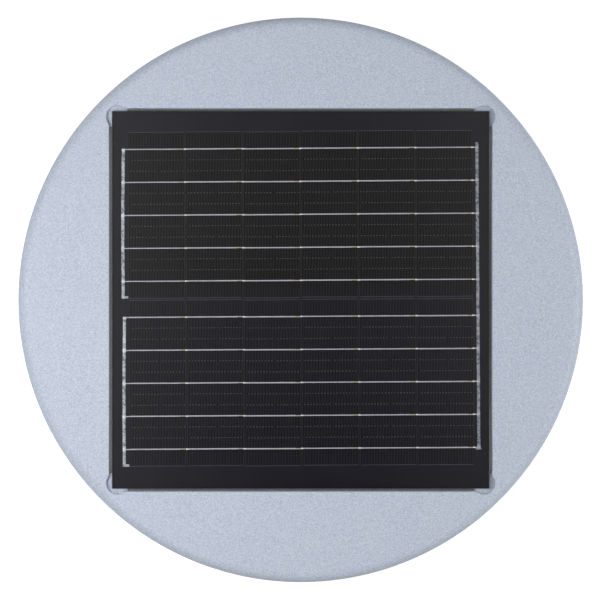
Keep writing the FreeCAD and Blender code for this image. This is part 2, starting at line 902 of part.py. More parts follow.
def make_throat_collar():
    """A sleeve riveted over the spigot; its rim carries the motor, the screen and the cover."""
    t = S.sheet_thickness
    inner = S.throat_radius + t + S.collar_play
    rim, lip_foot = S.throat_rim_radius, S.throat_top - S.throat_lip
    body = turned(
        "throat_collar",
        [
            (inner, S.collar_foot),
            (inner + t, S.collar_foot),
            (inner + t, S.throat_top - t),
            (rim - t, S.throat_top - t),
            (rim - t, lip_foot),
            (rim, lip_foot),
            (rim, S.throat_top, t * 1.2),
            (inner, S.throat_top, t),
        ],
    )
    hole_radius = S.bolt_radius + S.bolt_clearance
    rim_holes = [polar(S.rim_bolt_radius, a) for a in RIM_BRACKET_ANGLES + ARM_ANGLES]
    drill(body, rim_holes, hole_radius, S.throat_top - t * 2, t * 3)
    rivet_holes(body)
    keep(body, "throat_collar")


def blind_rivet(name, grip):
    """A pop rivet along Z: its factory head lies on height grip and its formed tail hangs below 0."""
    tail_seat, tail_height, head_height = 0.03, 1.2, 1.0
    return turned(
        name,
        [
            (0, -tail_height),
            (S.rivet_tail_radius, -tail_height, 0.5),
            (S.rivet_tail_radius, -tail_seat),
            (S.rivet_radius, -tail_seat),
            (S.rivet_radius, grip),
            (S.rivet_head_radius, grip),
            (S.rivet_head_radius, grip + head_height, 0.7),
            (0, grip + head_height),
        ],
    )


def make_throat_rivets():
    """Rivets that join the collar to the spigot, and the inlet ring's foot to the flange."""
    t = S.sheet_thickness
    angles = [360 / THROAT_RIVETS * i for i in range(THROAT_RIVETS)]
    radial = lying_outwards(round_places(S.throat_radius, angles, S.rivet_height))
    upright = round_places(*upright_rivet_spots(), S.seal_thickness)
    rows = [
        copies("collar_rivets", blind_rivet("collar_rivet", t * 2 + S.collar_play), radial),
        copies("foot_rivets", blind_rivet("foot_rivet", t * 2), upright),
    ]
    keep(together("throat_rivets", rows), "throat_rivets")


def make_screen():
    foot, top = S.throat_top, S.pocket_floor - S.cover_wall
    body = ring("vermin_screen", S.screen_radius, S.screen_radius + S.screen_thickness, foot, top)
    inside = 5.0
    sketch = new_sketch(body, "YZ_Plane", S.screen_radius - inside)
    middle = (foot + top) / 2
    half = S.slot_width / 2
    for step in (-1, 0, 1):
        low = middle + S.slot_pitch * step - S.slot_height / 2
        outline(sketch, box_corners(-half, low, half, low + S.slot_height, half * 0.8))
    slots = cut_away(body, sketch, inside * 2)
    repeat_round(body, [slots], SCREEN_COLUMNS)
    keep(body, "vermin_screen")


def make_cover_brackets():
    """Four channel brackets between the collar's rim and the underside of the pocket."""
    foot, top, t = S.throat_top, S.pocket_floor - S.cover_wall, S.bracket_thickness
    web, end = S.bracket_web_radius, S.bracket_foot_radius
    body = new_body("cover_bracket")
    profile = new_sketch(body, "XZ_Plane")
    outline(
        profile,
        [
            (web, foot, t * 1.4),
            (end, foot),
            (end, foot + t),
            (web + t, foot + t, t * 0.4),
            (web + t, top - t, t * 0.4),
            (end, top - t),
            (end, top),
            (web, top, t * 1.4),
        ],
    )
    pad(body, profile, S.bracket_width, symmetric=True)
    drill(body, [(S.rim_bolt_radius, 0)], S.bolt_radius + S.bolt_clearance, foot - 1)
    keep(copies("cover_brackets", body, [at(angle=a) for a in RIM_BRACKET_ANGLES]), "cover_brackets")


def make_cover_fasteners():
    length, point, head, head_height = S.stud_length, 1.0, 5.0, 1.0
    stud = turned(
        "cover_stud",
        [
            (0, -length),
            (S.bolt_radius * 0.8, -length),
            (S.bolt_radius, point - length),
            (S.bolt_radius, 0),
            (head, 0),
            (head, head_height, head_height * 0.3),
            (0, head_height),
        ],
    )
    places = round_places(S.rim_bolt_radius, RIM_BRACKET_ANGLES, S.pocket_floor)
    keep(copies("cover_studs", stud, places), "cover_studs")
    nut = hexagon("bracket_nut", S.nut_across, 0, S.nut_height, S.bolt_radius)
    under_cover = S.pocket_floor - S.cover_wall - S.bracket_thickness - S.nut_height
    under_rim = S.throat_top - S.sheet_thickness - S.nut_height
    places = round_places(S.rim_bolt_radius, RIM_BRACKET_ANGLES, under_cover)
    places += round_places(S.rim_bolt_radius, RIM_BRACKET_ANGLES + ARM_ANGLES, under_rim)
    keep(copies("bracket_nuts", nut, places), "bracket_nuts")


# ---- motor bracket with its isolators ---------------------------------------------------------------

arm_top = S.arm_height + S.arm_thickness
ARM_SLOTS = ((58, 92), (128, 152))


def make_motor_bracket():
    """Three ribbed arms round a disc that the motor's boss passes through."""
    half = S.arm_width / 2
    body = new_body("motor_bracket")
    disc = new_sketch(body, "XY_Plane", S.arm_height)
    circle(disc, 0, 0, S.spider_radius)
    pad(body, disc, S.arm_thickness)
    arm = new_sketch(body, "XY_Plane", S.arm_height)
    outline(arm, box_corners(0, -half, S.arm_reach, half, 4.0))
    arm_pad = pad(body, arm, S.arm_thickness)
    ribs = new_sketch(body, "XY_Plane", S.arm_height - S.arm_rib_depth)
    for low in (-half, half - S.arm_rib_thickness):
        outline(ribs, box_corners(S.arm_rib_start, low, S.arm_rib_end, low + S.arm_rib_thickness))
    rib_pad = pad(body, ribs, S.arm_rib_depth)
    openings = new_sketch(body, "XY_Plane", S.arm_height - 1)
    slot_half = S.arm_slot_width / 2
    for start, end in ARM_SLOTS:
        outline(openings, box_corners(start, -slot_half, end, slot_half, slot_half * 0.97))
    circle(openings, S.rim_bolt_radius, 0, S.isolator_neck)
    slot_cut = cut_away(body, openings)
    repeat_round(body, [arm_pad, rib_pad, slot_cut], len(ARM_ANGLES))
    body.Tip = drill(body, [(0, 0)], S.boss_radius + 0.1, S.arm_height - 1)
    turned_back = [angle - ARM_ANGLES[0] for angle in ARM_ANGLES]
    under_arm = S.arm_height - 1
    drill(body, [polar(S.mount_screw_circle, a) for a in turned_back], S.bolt_radius + 0.1, under_arm)
    drill(body, [polar(S.air_hole_circle, a + 60) for a in turned_back], S.air_hole_radius, under_arm)
    switch_reach = -S.switch_x
    rivets = [polar(switch_reach + S.switch_rivet_reach * side, turned_back[1]) for side in (-1, 1)]
    drill(body, rivets, S.small_screw_radius, under_arm)
    place(body, angle=ARM_ANGLES[0])
    keep(body, "motor_bracket")


def make_isolators():
    shoulder_top = arm_top + S.isolator_shoulder
    bore = S.bolt_radius + S.bolt_clearance
    isolator = turned(
        "isolator",
        [
            (bore, S.throat_top),
            (S.isolator_radius, S.throat_top, 0.8),
            (S.isolator_radius, S.arm_height),
            (S.isolator_neck, S.arm_height),
            (S.isolator_neck, arm_top),
            (S.isolator_radius, arm_top),
            (S.isolator_radius, shoulder_top, 0.8),
            (bore, shoulder_top),
        ],
    )
    keep(copies("isolators", isolator, round_places(S.rim_bolt_radius, ARM_ANGLES)), "isolators")
    short = machine_screw("rim_screw", S.bolt_radius, 10.0, 4.0, 2.4, 1.4)
    long_screw = machine_screw("arm_screw", S.bolt_radius, 17.0, 5.5, 2.8, 1.6)
    over_bracket = S.throat_top + S.bracket_thickness
    rows = [
        copies("rim_screws_short", short, round_places(S.rim_bolt_radius, RIM_BRACKET_ANGLES, over_bracket)),
        copies("rim_screws_long", long_screw, round_places(S.rim_bolt_radius, ARM_ANGLES, shoulder_top)),
    ]
    keep(together("rim_screws", rows), "rim_screws")


# ---- motor ------------------------------------------------------------------------------------------

bearing_radius = S.bearing_outside / 2
ball_circle = (S.bearing_bore + S.bearing_outside) / 4
lower_bearing = S.boss_foot + 2
roof_underside = S.motor_top - S.motor_wall
upper_bearing = roof_underside - S.bearing_seat_lip - S.bearing_width
motor_inside = S.motor_radius - S.motor_wall


def make_motor_housings():
    base = turned(
        "motor_base",
        [
            (S.boss_bore, S.boss_foot),
            (S.boss_radius, S.boss_foot, 1.0),
            (S.boss_radius, arm_top),
            (S.motor_radius, arm_top, 2.5),
            (S.motor_radius, S.motor_split),
            (motor_inside, S.motor_split),
            (motor_inside, arm_top + S.motor_floor),
            (S.boss_radius, arm_top + S.motor_floor),
            (S.boss_radius, lower_bearing + S.bearing_width + S.bearing_seat_lip),
            (bearing_radius, lower_bearing + S.bearing_width + S.bearing_seat_lip),
            (bearing_radius, lower_bearing),
            (S.boss_bore, lower_bearing),
        ],
    )
    add_lugs(base, S.motor_split - S.lug_height * 2, S.motor_split)
    drill(base, [polar(S.mount_screw_circle, a) for a in ARM_ANGLES], S.bolt_radius, arm_top - 1, 4.5)
    keep(base, "motor_base")
    cap = turned(
        "motor_cap",
        [
            (0, S.motor_top),
            (S.motor_radius, S.motor_top, 4.0),
            (S.motor_radius, S.motor_split),
            (motor_inside, S.motor_split),
            (motor_inside, roof_underside, 1.5),
            (S.boss_radius, roof_underside),
            (S.boss_radius, upper_bearing - S.bearing_seat_lip),
            (bearing_radius, upper_bearing - S.bearing_seat_lip),
            (bearing_radius, roof_underside),
            (0, roof_underside),
        ],
    )
    add_lugs(cap, S.motor_split, S.motor_split + S.lug_height)
    for plane in ("XZ_Plane", "YZ_Plane"):
        hole = new_sketch(cap, plane)
        circle(hole, 0, S.boot_height, S.boot_radius)
        cut_away(cap, hole, reverse=False)
    keep(cap, "motor_cap")
    cap_screw = machine_screw("cap_screw", S.small_screw_radius, 14.0, 2.8, 2.0, 1.1)
    cap_places = round_places(S.lug_circle, LUG_ANGLES, S.motor_split + S.lug_height)
    mount_screw = machine_screw("mount_screw", S.bolt_radius, 5.2, 3.8, 2.2, 1.4)
    mount_places = round_places(S.mount_screw_circle, ARM_ANGLES, S.arm_height)
    rows = [
        copies("cap_screws", cap_screw, cap_places),
        copies("mount_screws", mount_screw, [turned_over(p) for p in mount_places]),
    ]
    keep(together("motor_screws", rows), "motor_screws")


def add_lugs(body, foot, top):
    """Three screw lugs on the motor's side."""
    sketch = new_sketch(body, "XY_Plane", foot)
    for angle in LUG_ANGLES:
        x, y = polar(S.lug_circle, angle)
        circle(sketch, x, y, S.lug_radius)
    pad(body, sketch, size(top) - foot)
    drill(body, [polar(S.lug_circle, a) for a in LUG_ANGLES], S.small_screw_radius, size(foot) - 1)


def make_stator():
    body = ring("stator_core", S.yoke_radius, motor_inside, S.stator_foot, S.stator_foot + S.stator_stack)
    tooth = new_sketch(body, "XY_Plane", S.stator_foot)
    half = S.tooth_width / 2
    outline(tooth, box_corners(S.stator_bore + 0.4, -half, S.yoke_radius + 1, half))
    tooth_pad = pad(body, tooth, S.stator_stack)
    repeat_round(body, [tooth_pad], STATOR_TEETH)
    keep(body, "stator_core")
    coil = new_body("coil")
    sketch = new_sketch(coil, "YZ_Plane", S.coil_inner_end)
    middle = S.stator_foot + S.stator_stack / 2
    half_height = S.stator_stack / 2
    wide, tall = half + S.coil_build, half_height + S.coil_build
    outline(sketch, box_corners(-wide, middle - tall, wide, middle + tall, 2.0))
    outline(sketch, box_corners(-half, middle - half_height, half, middle + half_height))
    pad(coil, sketch, S.coil_length)
    places = [at(angle=360 / STATOR_TEETH * i) for i in range(STATOR_TEETH)]
    keep(copies("stator_coils", coil, places), "stator_coils")


def make_control_board():
    """A ring of board over the windings, with two capacitors, a driver chip and six power switches."""
    foot = S.board_height
    top = foot + S.board_thickness
    keep(ring("control_board", S.board_inner_radius, S.board_outer_radius, foot, top), "control_board")
    middle = (S.board_inner_radius + S.board_outer_radius) / 2
    can_radius, can_height = 3.2, 7.5
    can_corners = [(0, 0), (can_radius, 0), (can_radius, can_height, 0.6), (0, can_height)]
    capacitor = turned("capacitor", can_corners)
    chip = block("driver_chip", 9.0, 6.0, 1.6)
    switch = block("power_switch", 6.5, 5.0, 1.5)
    rows = [
        copies("capacitors", capacitor, round_places(middle + 4, (0, 25), top)),
        copies("chips", chip, round_places(middle, (200,), top)),
        copies("power_switches", switch, round_places(middle, (70, 110, 150, 240, 280, 320), top)),
    ]
    keep(together("board_components", rows), "board_components")


def make_rotor():
    stack_foot, stack_top = S.stator_foot - 1, S.stator_foot + S.stator_stack + 1
    shaft_radius = S.bearing_bore / 2
    collar_top = S.hub_boss_top + S.shaft_collar_height
    shaft = turned(
        "motor_shaft",
        [
            (0, S.shaft_foot),
            (shaft_radius - 0.8, S.shaft_foot),
            (shaft_radius, S.shaft_foot + 0.8),
            (shaft_radius, S.hub_boss_top),
            (S.shaft_collar_radius, S.hub_boss_top),
            (S.shaft_collar_radius, collar_top),
            (shaft_radius, collar_top),
            (shaft_radius, upper_bearing + S.bearing_width),
            (0, upper_bearing + S.bearing_width),
        ],
    )
    keep(shaft, "motor_shaft")
    keep(ring("rotor_core", shaft_radius, S.rotor_radius, stack_foot, stack_top), "rotor_core")
    keep(ring("rotor_magnets", S.rotor_radius, S.magnet_radius, stack_foot, stack_top, 0.4), "rotor_magnets")


def grooved_ring(name, inner, outer):
    """A bearing ring about Z, standing on 0, with a ball groove in the face next to the balls."""
    body = ring(name, inner, outer, 0, S.bearing_width)
    groove = new_sketch(body, "XZ_Plane")
    circle(groove, ball_circle, S.bearing_width / 2, S.bearing_ball / 2 + S.ball_play)
    feature = body.newObject("PartDesign::Groove", f"{name}_groove")
    feature.Profile = groove
    feature.ReferenceAxis = (groove, ["V_Axis"])
    feature.Angle = 360
    doc.recompute()
    return body


def make_bearings():
    outer = grooved_ring("outer_ring", ball_circle * 2 - S.bearing_race, bearing_radius)
    inner = grooved_ring("inner_ring", S.bearing_bore / 2, S.bearing_race)
    feet = [at(z=lower_bearing), at(z=upper_bearing)]
    keep(copies("bearing_outer_rings", outer, feet), "bearing_outer_rings")
    keep(copies("bearing_inner_rings", inner, feet), "bearing_inner_rings")
    ball = doc.addObject("Part::Sphere", "ball")
    ball.setExpression("Radius", (S.bearing_ball / 2).formula)
    places = []
    for foot in (lower_bearing, upper_bearing):
        angles = [360 / BEARING_BALLS * i for i in range(BEARING_BALLS)]
        places += round_places(ball_circle, angles, foot + S.bearing_width / 2)
    keep(copies("bearing_balls", ball, places), "bearing_balls")


# ---- fan wheel --------------------------------------------------------------------------------------

# Each blade section: radius, chord, angle from the plane of rotation, thickness and camber.
BLADE_SECTIONS = (
    (41.0, 42.0, 40.0, 4.2, 4.0),
    (76.0, 60.0, 33.0, 3.4, 6.0),
    (114.0, 70.0, 27.0, 2.8, 6.0),
    (S.blade_tip, 74.0, 22.0, 2.2, 5.0),
)
BLADE_EDGE = 1.2


def blade_section(body, station, chord, angle, thickness, camber):
    """A thin bowed section across the blade: two long arcs joined by the blunt leading and trailing edges."""
    sketch = new_sketch(body, "YZ_Plane", station)
    half, edge = chord / 2, BLADE_EDGE / 2
    ends = []
    for side in (-1, 1):
        for along in (-1, 1):
            y = cosine(angle) * (-half * along) + sine(angle) * (edge * side)
            z = sine(angle) * (half * along) + cosine(angle) * (edge * side)
            ends.append((y, z))
    arcs = []
    for side, (first, last) in ((-1, ends[:2]), (1, ends[2:])):
        bow = camber - (thickness / 2 - edge) * side
        radius = size(half * half + bow * bow) / (2 * bow)
        start, end = V(number(first[0]), number(first[1]), 0), V(number(last[0]), number(last[1]), 0)
        normal = V(math.sin(math.radians(angle)), math.cos(math.radians(angle)), 0)
        centre = (start + end) / 2 + normal * (number(radius) - bow)
        arc, vertices = arc_between(centre, start, end)
        index = sketch.addGeometry(arc, False)
        pin_down(sketch, index, vertices[0], *first)
        pin_down(sketch, index, vertices[1], *last)
        rule(sketch, "Radius", index, value=radius)
        arcs.append((index, vertices, start, end))
    for at_start in (0, 1):
        (low, low_vertices, *low_ends), (high, high_vertices, *high_ends) = arcs
        line = sketch.addGeometry(Part.LineSegment(low_ends[at_start], high_ends[at_start]), False)
        sketch.addConstraint(Sketcher.Constraint("Coincident", line, 1, low, low_vertices[at_start]))
        sketch.addConstraint(Sketcher.Constraint("Coincident", line, 2, high, high_vertices[at_start]))
    return sketch


def shank_profile(sketch, start, end, end_rounding=0.0):
    """Half the outline of a blade's shank and its locking collar, along X."""
    collar_foot = S.shank_foot + S.collar_width
    collar_top = collar_foot + S.collar_width
    outline(
        sketch,
        [
            (start, 0),
            (start, S.shank_radius),
            (collar_foot, S.shank_radius),
            (collar_foot, S.collar_radius),
            (collar_top, S.collar_radius),
            (collar_top, S.shank_radius),
            (end, S.shank_radius, end_rounding),
            (end, 0),
        ],
    )


def shank_body(name, start, end, end_rounding=0.0):
    body = new_body(name)
    profile = new_sketch(body, "XY_Plane")
    shank_profile(profile, start, end, end_rounding)
    turn(body, profile, "H_Axis")
    return body


def make_blade():
    """One blade along +X: a shank with a locking collar, then the twisted airfoil."""
    body = shank_body("blade", S.shank_foot, S.hub_radius + 8, 2.0)
    sections = [blade_section(body, *station) for station in BLADE_SECTIONS]
    loft = body.newObject("PartDesign::AdditiveLoft", "blade_airfoil")
    loft.Profile = sections[0]
    loft.Sections = sections[1:]
    doc.recompute()
    return body


def make_fan_blades():
    blade = make_blade()
    for i in range(BLADES):
        label = f"fan_blade_{i + 1}"
        keep(copies(label, blade, [at(z=S.blade_height, angle=360 / BLADES * i)]), label)


def make_hub():
    """Two halves that clamp the blades' shanks, screwed together from below."""
    step = 360 / BLADES
    tool = shank_body("shank_tool", S.shank_foot - S.shank_play, S.hub_radius + 10)
    sockets = copies("shank_sockets", tool, [at(z=S.blade_height, angle=step * i) for i in range(BLADES)])
    bore = S.bearing_bore / 2 + S.shaft_fit
    foot = S.blade_height - S.hub_plate
    screw_angles = [step * (i + 0.5) for i in range(BLADES)]
    screw_spots = [polar(S.hub_screw_circle, a) for a in screw_angles]
    lower = turned(
        "lower_hub_blank",
        [(bore, foot), (S.hub_radius, foot, 3.0), (S.hub_radius, S.blade_height), (bore, S.blade_height)],
    )
    drill(lower, screw_spots, S.small_screw_radius + 0.1, foot - 1)
    plate_top = S.blade_height + S.hub_plate
    upper = turned(
        "upper_hub_blank",
        [
            (bore, S.blade_height),
            (S.hub_radius, S.blade_height),
            (S.hub_radius, plate_top, 3.0),
            (S.hub_boss_radius, plate_top, 3.0),
            (S.hub_boss_radius, S.hub_boss_top, 1.0),
            (bore, S.hub_boss_top),
        ],
    )
    drill(upper, screw_spots, S.small_screw_radius, S.blade_height - 1, 7.0)
    keep(subtract("hub_lower_half", lower, sockets), "hub_lower_half")
    keep(subtract("hub_upper_half", upper, sockets), "hub_upper_half")
    screw = machine_screw("hub_screw", S.small_screw_radius, 14.0, 2.8, 2.0, 1.1)
    places = [turned_over(p) for p in round_places(S.hub_screw_circle, screw_angles, foot)]
    keep(copies("hub_screws", screw, places), "hub_screws")
    nut_foot = foot - S.hub_nut_height
    nut = hexagon("hub_nut", S.hub_nut_across, nut_foot, S.hub_nut_height, S.bearing_bore / 2)
    keep(nut, "hub_nut")


# ---- junction box, leads and thermal switch -----------------------------------------------------------

box_foot = tape_top - S.box_height
gland_foot = S.box_width / 2 - 3
gland_end = gland_foot + S.gland_length
plug_end = S.plug_x + S.plug_length * 2
ALONG_Y = FreeCAD.Rotation(V(1, 0, 0), -90)
AGAINST_X = FreeCAD.Rotation(V(0, 1, 0), -90)


def make_junction_box():
    """An open box glued under the panel, closed from below by a lid."""
    half_x, half_y = S.box_length / 2, S.box_width / 2
    x, wall = S.box_centre_x, S.box_wall
    walls = box_corners(x - half_x, -half_y, x + half_x, half_y, 3.0)
    body = plate("junction_box", walls, box_foot, S.box_height)
    inside = new_sketch(body, "XY_Plane", box_foot)
    outline(inside, box_corners(x - half_x + wall, wall - half_y, x + half_x - wall, half_y - wall, 1.5))
    cut_away(body, inside, S.box_height - wall)
    reach_x, reach_y = half_x - S.box_boss_inset, half_y - S.box_boss_inset
    corners = [(x + reach_x * i, reach_y * j) for i in (-1, 1) for j in (-1, 1)]
    bosses = new_sketch(body, "XY_Plane", box_foot)
    for boss_x, boss_y in corners:
        circle(bosses, boss_x, boss_y, S.box_boss_radius)
    pad(body, bosses, S.box_height - wall / 2)
    drill(body, corners, S.small_screw_radius, box_foot - 1, 13.0)
    hole = new_sketch(body, "XZ_Plane")
    circle(hole, S.gland_x, S.lead_height, S.gland_thread)
    cut_away(body, hole, reverse=False)
    keep(body, "junction_box")
    rim = 1.0
    lid_corners = box_corners(x - half_x - rim, -half_y - rim, x + half_x + rim, half_y + rim, 4.0)
    lid = plate("junction_box_lid", lid_corners, box_foot - S.lid_thickness, S.lid_thickness)
    drill(lid, corners, S.small_screw_radius + 0.1, box_foot - S.lid_thickness - 1)
    keep(lid, "junction_box_lid")
    screw = machine_screw("lid_screw", S.small_screw_radius, 11.0, 2.8, 1.8, 1.1)
    places = [turned_over(at(cx, cy, box_foot - S.lid_thickness)) for cx, cy in corners]
    keep(copies("junction_box_screws", screw, places), "junction_box_screws")


def make_box_contents():
    under_roof = tape_top - S.box_wall - S.terminal_height
    terminal = block("terminal_block", S.terminal_length, S.terminal_width, S.terminal_height)
    spots = [at(S.box_centre_x + offset, 0, under_roof) for offset in (S.left_terminal, S.right_terminal)]
    keep(copies("terminal_blocks", terminal, spots), "terminal_blocks")
    diode = ring("diode_can", 0, S.diode_radius, 0, S.diode_length)
    lying = at(S.box_centre_x + S.diode_foot, 0, under_roof + S.terminal_height / 2, 90, V(0, 1, 0))
    keep(copies("bypass_diode", diode, [lying]), "bypass_diode")
    gland = turned(
        "gland",
        [
            (S.cable_radius, 0),
            (S.gland_thread, 0),
            (S.gland_thread, S.gland_flange_foot),
            (S.gland_radius, S.gland_flange_foot),
            (S.gland_radius, S.gland_nut_end, 1.0),
            (S.gland_thread, S.gland_taper_end, 1.0),
            (S.gland_mouth, S.gland_length),
            (S.cable_radius, S.gland_length),
        ],
    )
    mouth = FreeCAD.Placement(V(number(S.gland_x), number(gland_foot), number(S.lead_height)), ALONG_Y)
    keep(copies("cable_gland", gland, [mouth]), "cable_gland")


def route_wire(points):
    """A path of straight runs joined by tangent arcs, each as large as its two runs allow."""
    edges, radii = [], []
    here = points[0]
    for before, corner, after in zip(points, points[1:], points[2:]):
        into, out = corner - before, after - corner
        turn_angle = into.getAngle(out)
        reach = 0.45 * min(into.Length, out.Length)
        radius = reach / math.tan(turn_angle / 2)
        start = corner - into.normalize() * reach
        end = corner + out.normalize() * reach
        towards_centre = (out - into).normalize()
        middle = corner + towards_centre * (radius / math.cos(turn_angle / 2) - radius)
        edges.append(Part.LineSegment(here, start).toShape())
        edges.append(Part.Arc(start, middle, end).toShape())
        radii.append(radius)
        here = end
    edges.append(Part.LineSegment(here, points[-1]).toShape())
    return Part.Wire(edges), radii


def lead_shape(name, points, radius):
    """The solid of a round lead along a route; its volume is compared with section times length."""
    points = [V(*(number(c) for c in p)) for p in points]
    path, radii = route_wire(points)
    section = Part.Wire([Part.Circle(points[0], points[1] - points[0], radius).toShape()])
    solid = path.makePipeShell([section], True, True)
    expected = math.pi * radius**2 * path.Length
    if abs(solid.Volume / expected - 1) > 0.01:
        raise RuntimeError(f"{name}: volume {solid.Volume:.1f} is not {expected:.1f}")
    print(f"{name}: length {path.Length:.1f} mm, bend radii {[round(r, 1) for r in radii]}")
    return solid


def lead(name, routes, radius):
    """One or more leads, each held along a route of its own."""
    feature = doc.addObject("Part::Feature", name)
    shapes = [lead_shape(name, route, number(radius)) for route in routes]
    feature.Shape = shapes[0] if len(shapes) == 1 else Part.makeCompound(shapes)
    feature.Placement = at()
    keep(feature, name)


def make_leads():
    """The panel's lead, the motor's lead and the two leads of the thermal switch.

    Each route runs straight out of its fitting, and its middle points only keep it clear of its neighbours.
    """
    z = S.lead_height
    panel_route = [
        (S.gland_x, gland_foot + 10, z),
        (S.gland_x, gland_end + 14, z),
        (S.gland_x - 3.5, gland_end + 29, z),
        (S.gland_x - 2, S.plug_y - 2.5, z),
        (S.plug_x - 5, S.plug_y, z),
        (S.plug_x, S.plug_y, z),
    ]
    lead("panel_cable", [panel_route], S.cable_radius)
    boot_face = S.motor_radius + 4
    motor_route = [
        (plug_end, S.plug_y, z),
        (plug_end + 20, S.plug_y, z),
        (plug_end + 42, S.plug_y - 3, z - 3),
        (-1.5, S.plug_y - 14, S.boot_height + 3),
        (0, boot_face + 12, S.boot_height),
        (0, boot_face, S.boot_height),
    ]
    lead("motor_cable", [motor_route], S.cable_radius)
    tab_z = arm_top + S.switch_flange + S.switch_height + 5
    switch_routes = [
        [
            (S.switch_x + 6.4, S.switch_tab_spacing / 2 * side, tab_z),
            (S.switch_x + 16, S.switch_tab_spacing / 2 * side, tab_z),
            (S.switch_x + 28, 3.6 * side, tab_z - 4),
            (-18 - boot_face, 3.0 * side, tab_z + 1),
            (-11 - boot_face, 2.4 * side, S.boot_height - 8),
            (-6 - boot_face, 2.2 * side, S.boot_height),
            (-boot_face, 2.2 * side, S.boot_height),
        ]
        for side in (-1, 1)
    ]
    lead("switch_leads", switch_routes, S.lead_radius)


def make_connector():
    """A plug and a socket, and the saddle under the pocket's floor that holds them."""
    half, low = S.plug_width / 2, S.lead_height - S.plug_height / 2
    outline_of_plug = box_corners(S.plug_x, S.plug_y - half, S.plug_x + S.plug_length, S.plug_y + half, 1.5)
    keep(plate("panel_plug", outline_of_plug, low, S.plug_height), "panel_plug")
    half, low = S.socket_width / 2, S.lead_height - S.socket_height / 2
    outline_of_socket = box_corners(S.plug_x + S.plug_length, S.plug_y - half, plug_end, S.plug_y + half, 2.0)
    keep(plate("motor_socket", outline_of_socket, low, S.socket_height), "motor_socket")
    saddle = new_body("connector_saddle")
    sketch = new_sketch(saddle, "YZ_Plane", S.plug_x + S.plug_length + 4)
    y, t, ceiling = S.plug_y, S.saddle_strip, S.pocket_floor - S.cover_wall
    inner, outer = half, half + t
    tab = outer + S.saddle_tab
    outline(
        sketch,
        [
            (y - tab, ceiling),
            (y - tab, ceiling - t),
            (y - outer, ceiling - t),
            (y - outer, low - t, 1.5),
            (y + outer, low - t, 1.5),
            (y + outer, ceiling - t),
            (y + tab, ceiling - t),
            (y + tab, ceiling),
            (y + inner, ceiling),
            (y + inner, low),
            (y - inner, low),
            (y - inner, ceiling),
        ],
    )
    pad(saddle, sketch, S.saddle_width)
    keep(saddle, "connector_saddle")


def make_motor_boots():
    flange_foot = S.motor_wall + 0.2
    boot = turned(
        "boot",
        [
            (0, 0),
            (S.boot_radius, 0),
            (S.boot_radius, flange_foot),
            (S.boot_flange_radius, flange_foot),
            (S.boot_flange_radius, S.boot_flange_end, 1.0),
            (S.boot_tip_radius, S.boot_length),
            (0, S.boot_length),
        ],
    )
    reach = number(motor_inside)
    height = number(S.boot_height)
    places = [
        FreeCAD.Placement(V(0, reach, height), ALONG_Y),
        FreeCAD.Placement(V(-reach, 0, height), AGAINST_X),
    ]
    keep(copies("motor_boots", boot, places), "motor_boots")


def make_thermal_switch():
    """A snap-disc switch: a round cup on a flange that is riveted to the arm, with two blade tabs."""
    x, half_width = S.switch_x, 6.0
    body = new_body("thermal_switch")
    flange = new_sketch(body, "XY_Plane", arm_top)
    reach = S.switch_flange_half
    outline(flange, box_corners(x - reach, -half_width, x + reach, half_width, 5.0))
    pad(body, flange, S.switch_flange)
    cup = new_sketch(body, "XY_Plane", arm_top + S.switch_flange)
    circle(cup, x, 0, S.switch_radius)
    pad(body, cup, S.switch_height)
    rivet_spots = [x + S.switch_rivet_reach * side for side in (-1, 1)]
    drill(body, [(spot, 0) for spot in rivet_spots], S.small_screw_radius, arm_top - 1)
    keep(body, "thermal_switch")
    tab = block("switch_tab", S.switch_tab_thickness, S.switch_tab_width, S.switch_tab_height)
    tab_foot = arm_top + S.switch_flange + S.switch_height
    sides = [S.switch_tab_spacing / 2 * side for side in (-1, 1)]
    places = [at(x + S.switch_tab_reach, y, tab_foot) for y in sides]
    keep(copies("thermal_switch_tabs", tab, places), "thermal_switch_tabs")
    grip = S.arm_thickness + S.switch_flange
    head, head_height = 2.8, 1.0
    rivet = turned(
        "switch_rivet",
        [
            (0, -head_height),
            (head, -head_height, 0.6),
            (head, 0),
            (S.small_screw_radius, 0),
            (S.small_screw_radius, grip),
            (head, grip),
            (head, grip + head_height, 0.6),
            (0, grip + head_height),
        ],
    )
    places = [at(spot, 0, S.arm_height) for spot in rivet_spots]
    keep(copies("thermal_switch_rivets", rivet, places), "thermal_switch_rivets")


for make in (
    make_cover,
    make_panel,
    make_cells,
    make_roof_flange,
    make_inlet_ring,
    make_throat_collar,
    make_throat_rivets,
    make_screen,
    make_cover_brackets,
    make_cover_fasteners,
    make_motor_bracket,
    make_isolators,
    make_motor_housings,
    make_motor_boots,
    make_stator,
    make_control_board,
    make_rotor,
    make_bearings,
    make_fan_blades,
    make_hub,
    make_junction_box,
    make_box_contents,
    make_leads,
    make_connector,
    make_thermal_switch,
):
    make()
doc.recompute()

for thing in doc.Objects:
    if "Invalid" in thing.State or "Error" in thing.State:
        raise RuntimeError(f"{thing.Name} failed: {thing.State}")
for thing in sub_parts:
    if thing.Shape.isNull() or not thing.Shape.isValid():
        raise RuntimeError(f"{thing.Label} has no valid shape")

os.makedirs("parts", exist_ok=True)
for old in os.listdir("parts"):
    os.remove(os.path.join("parts", old))
for thing in sub_parts:
    thing.Shape.exportStep(os.path.join("parts", thing.Label + ".step"))
    print(f"{thing.Label}: {len(thing.Shape.Solids)} solids, {thing.Shape.Volume:.1f} mm3")
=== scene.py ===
import math
import random

import bmesh
import bpy
from mathutils import Matrix, Vector, noise


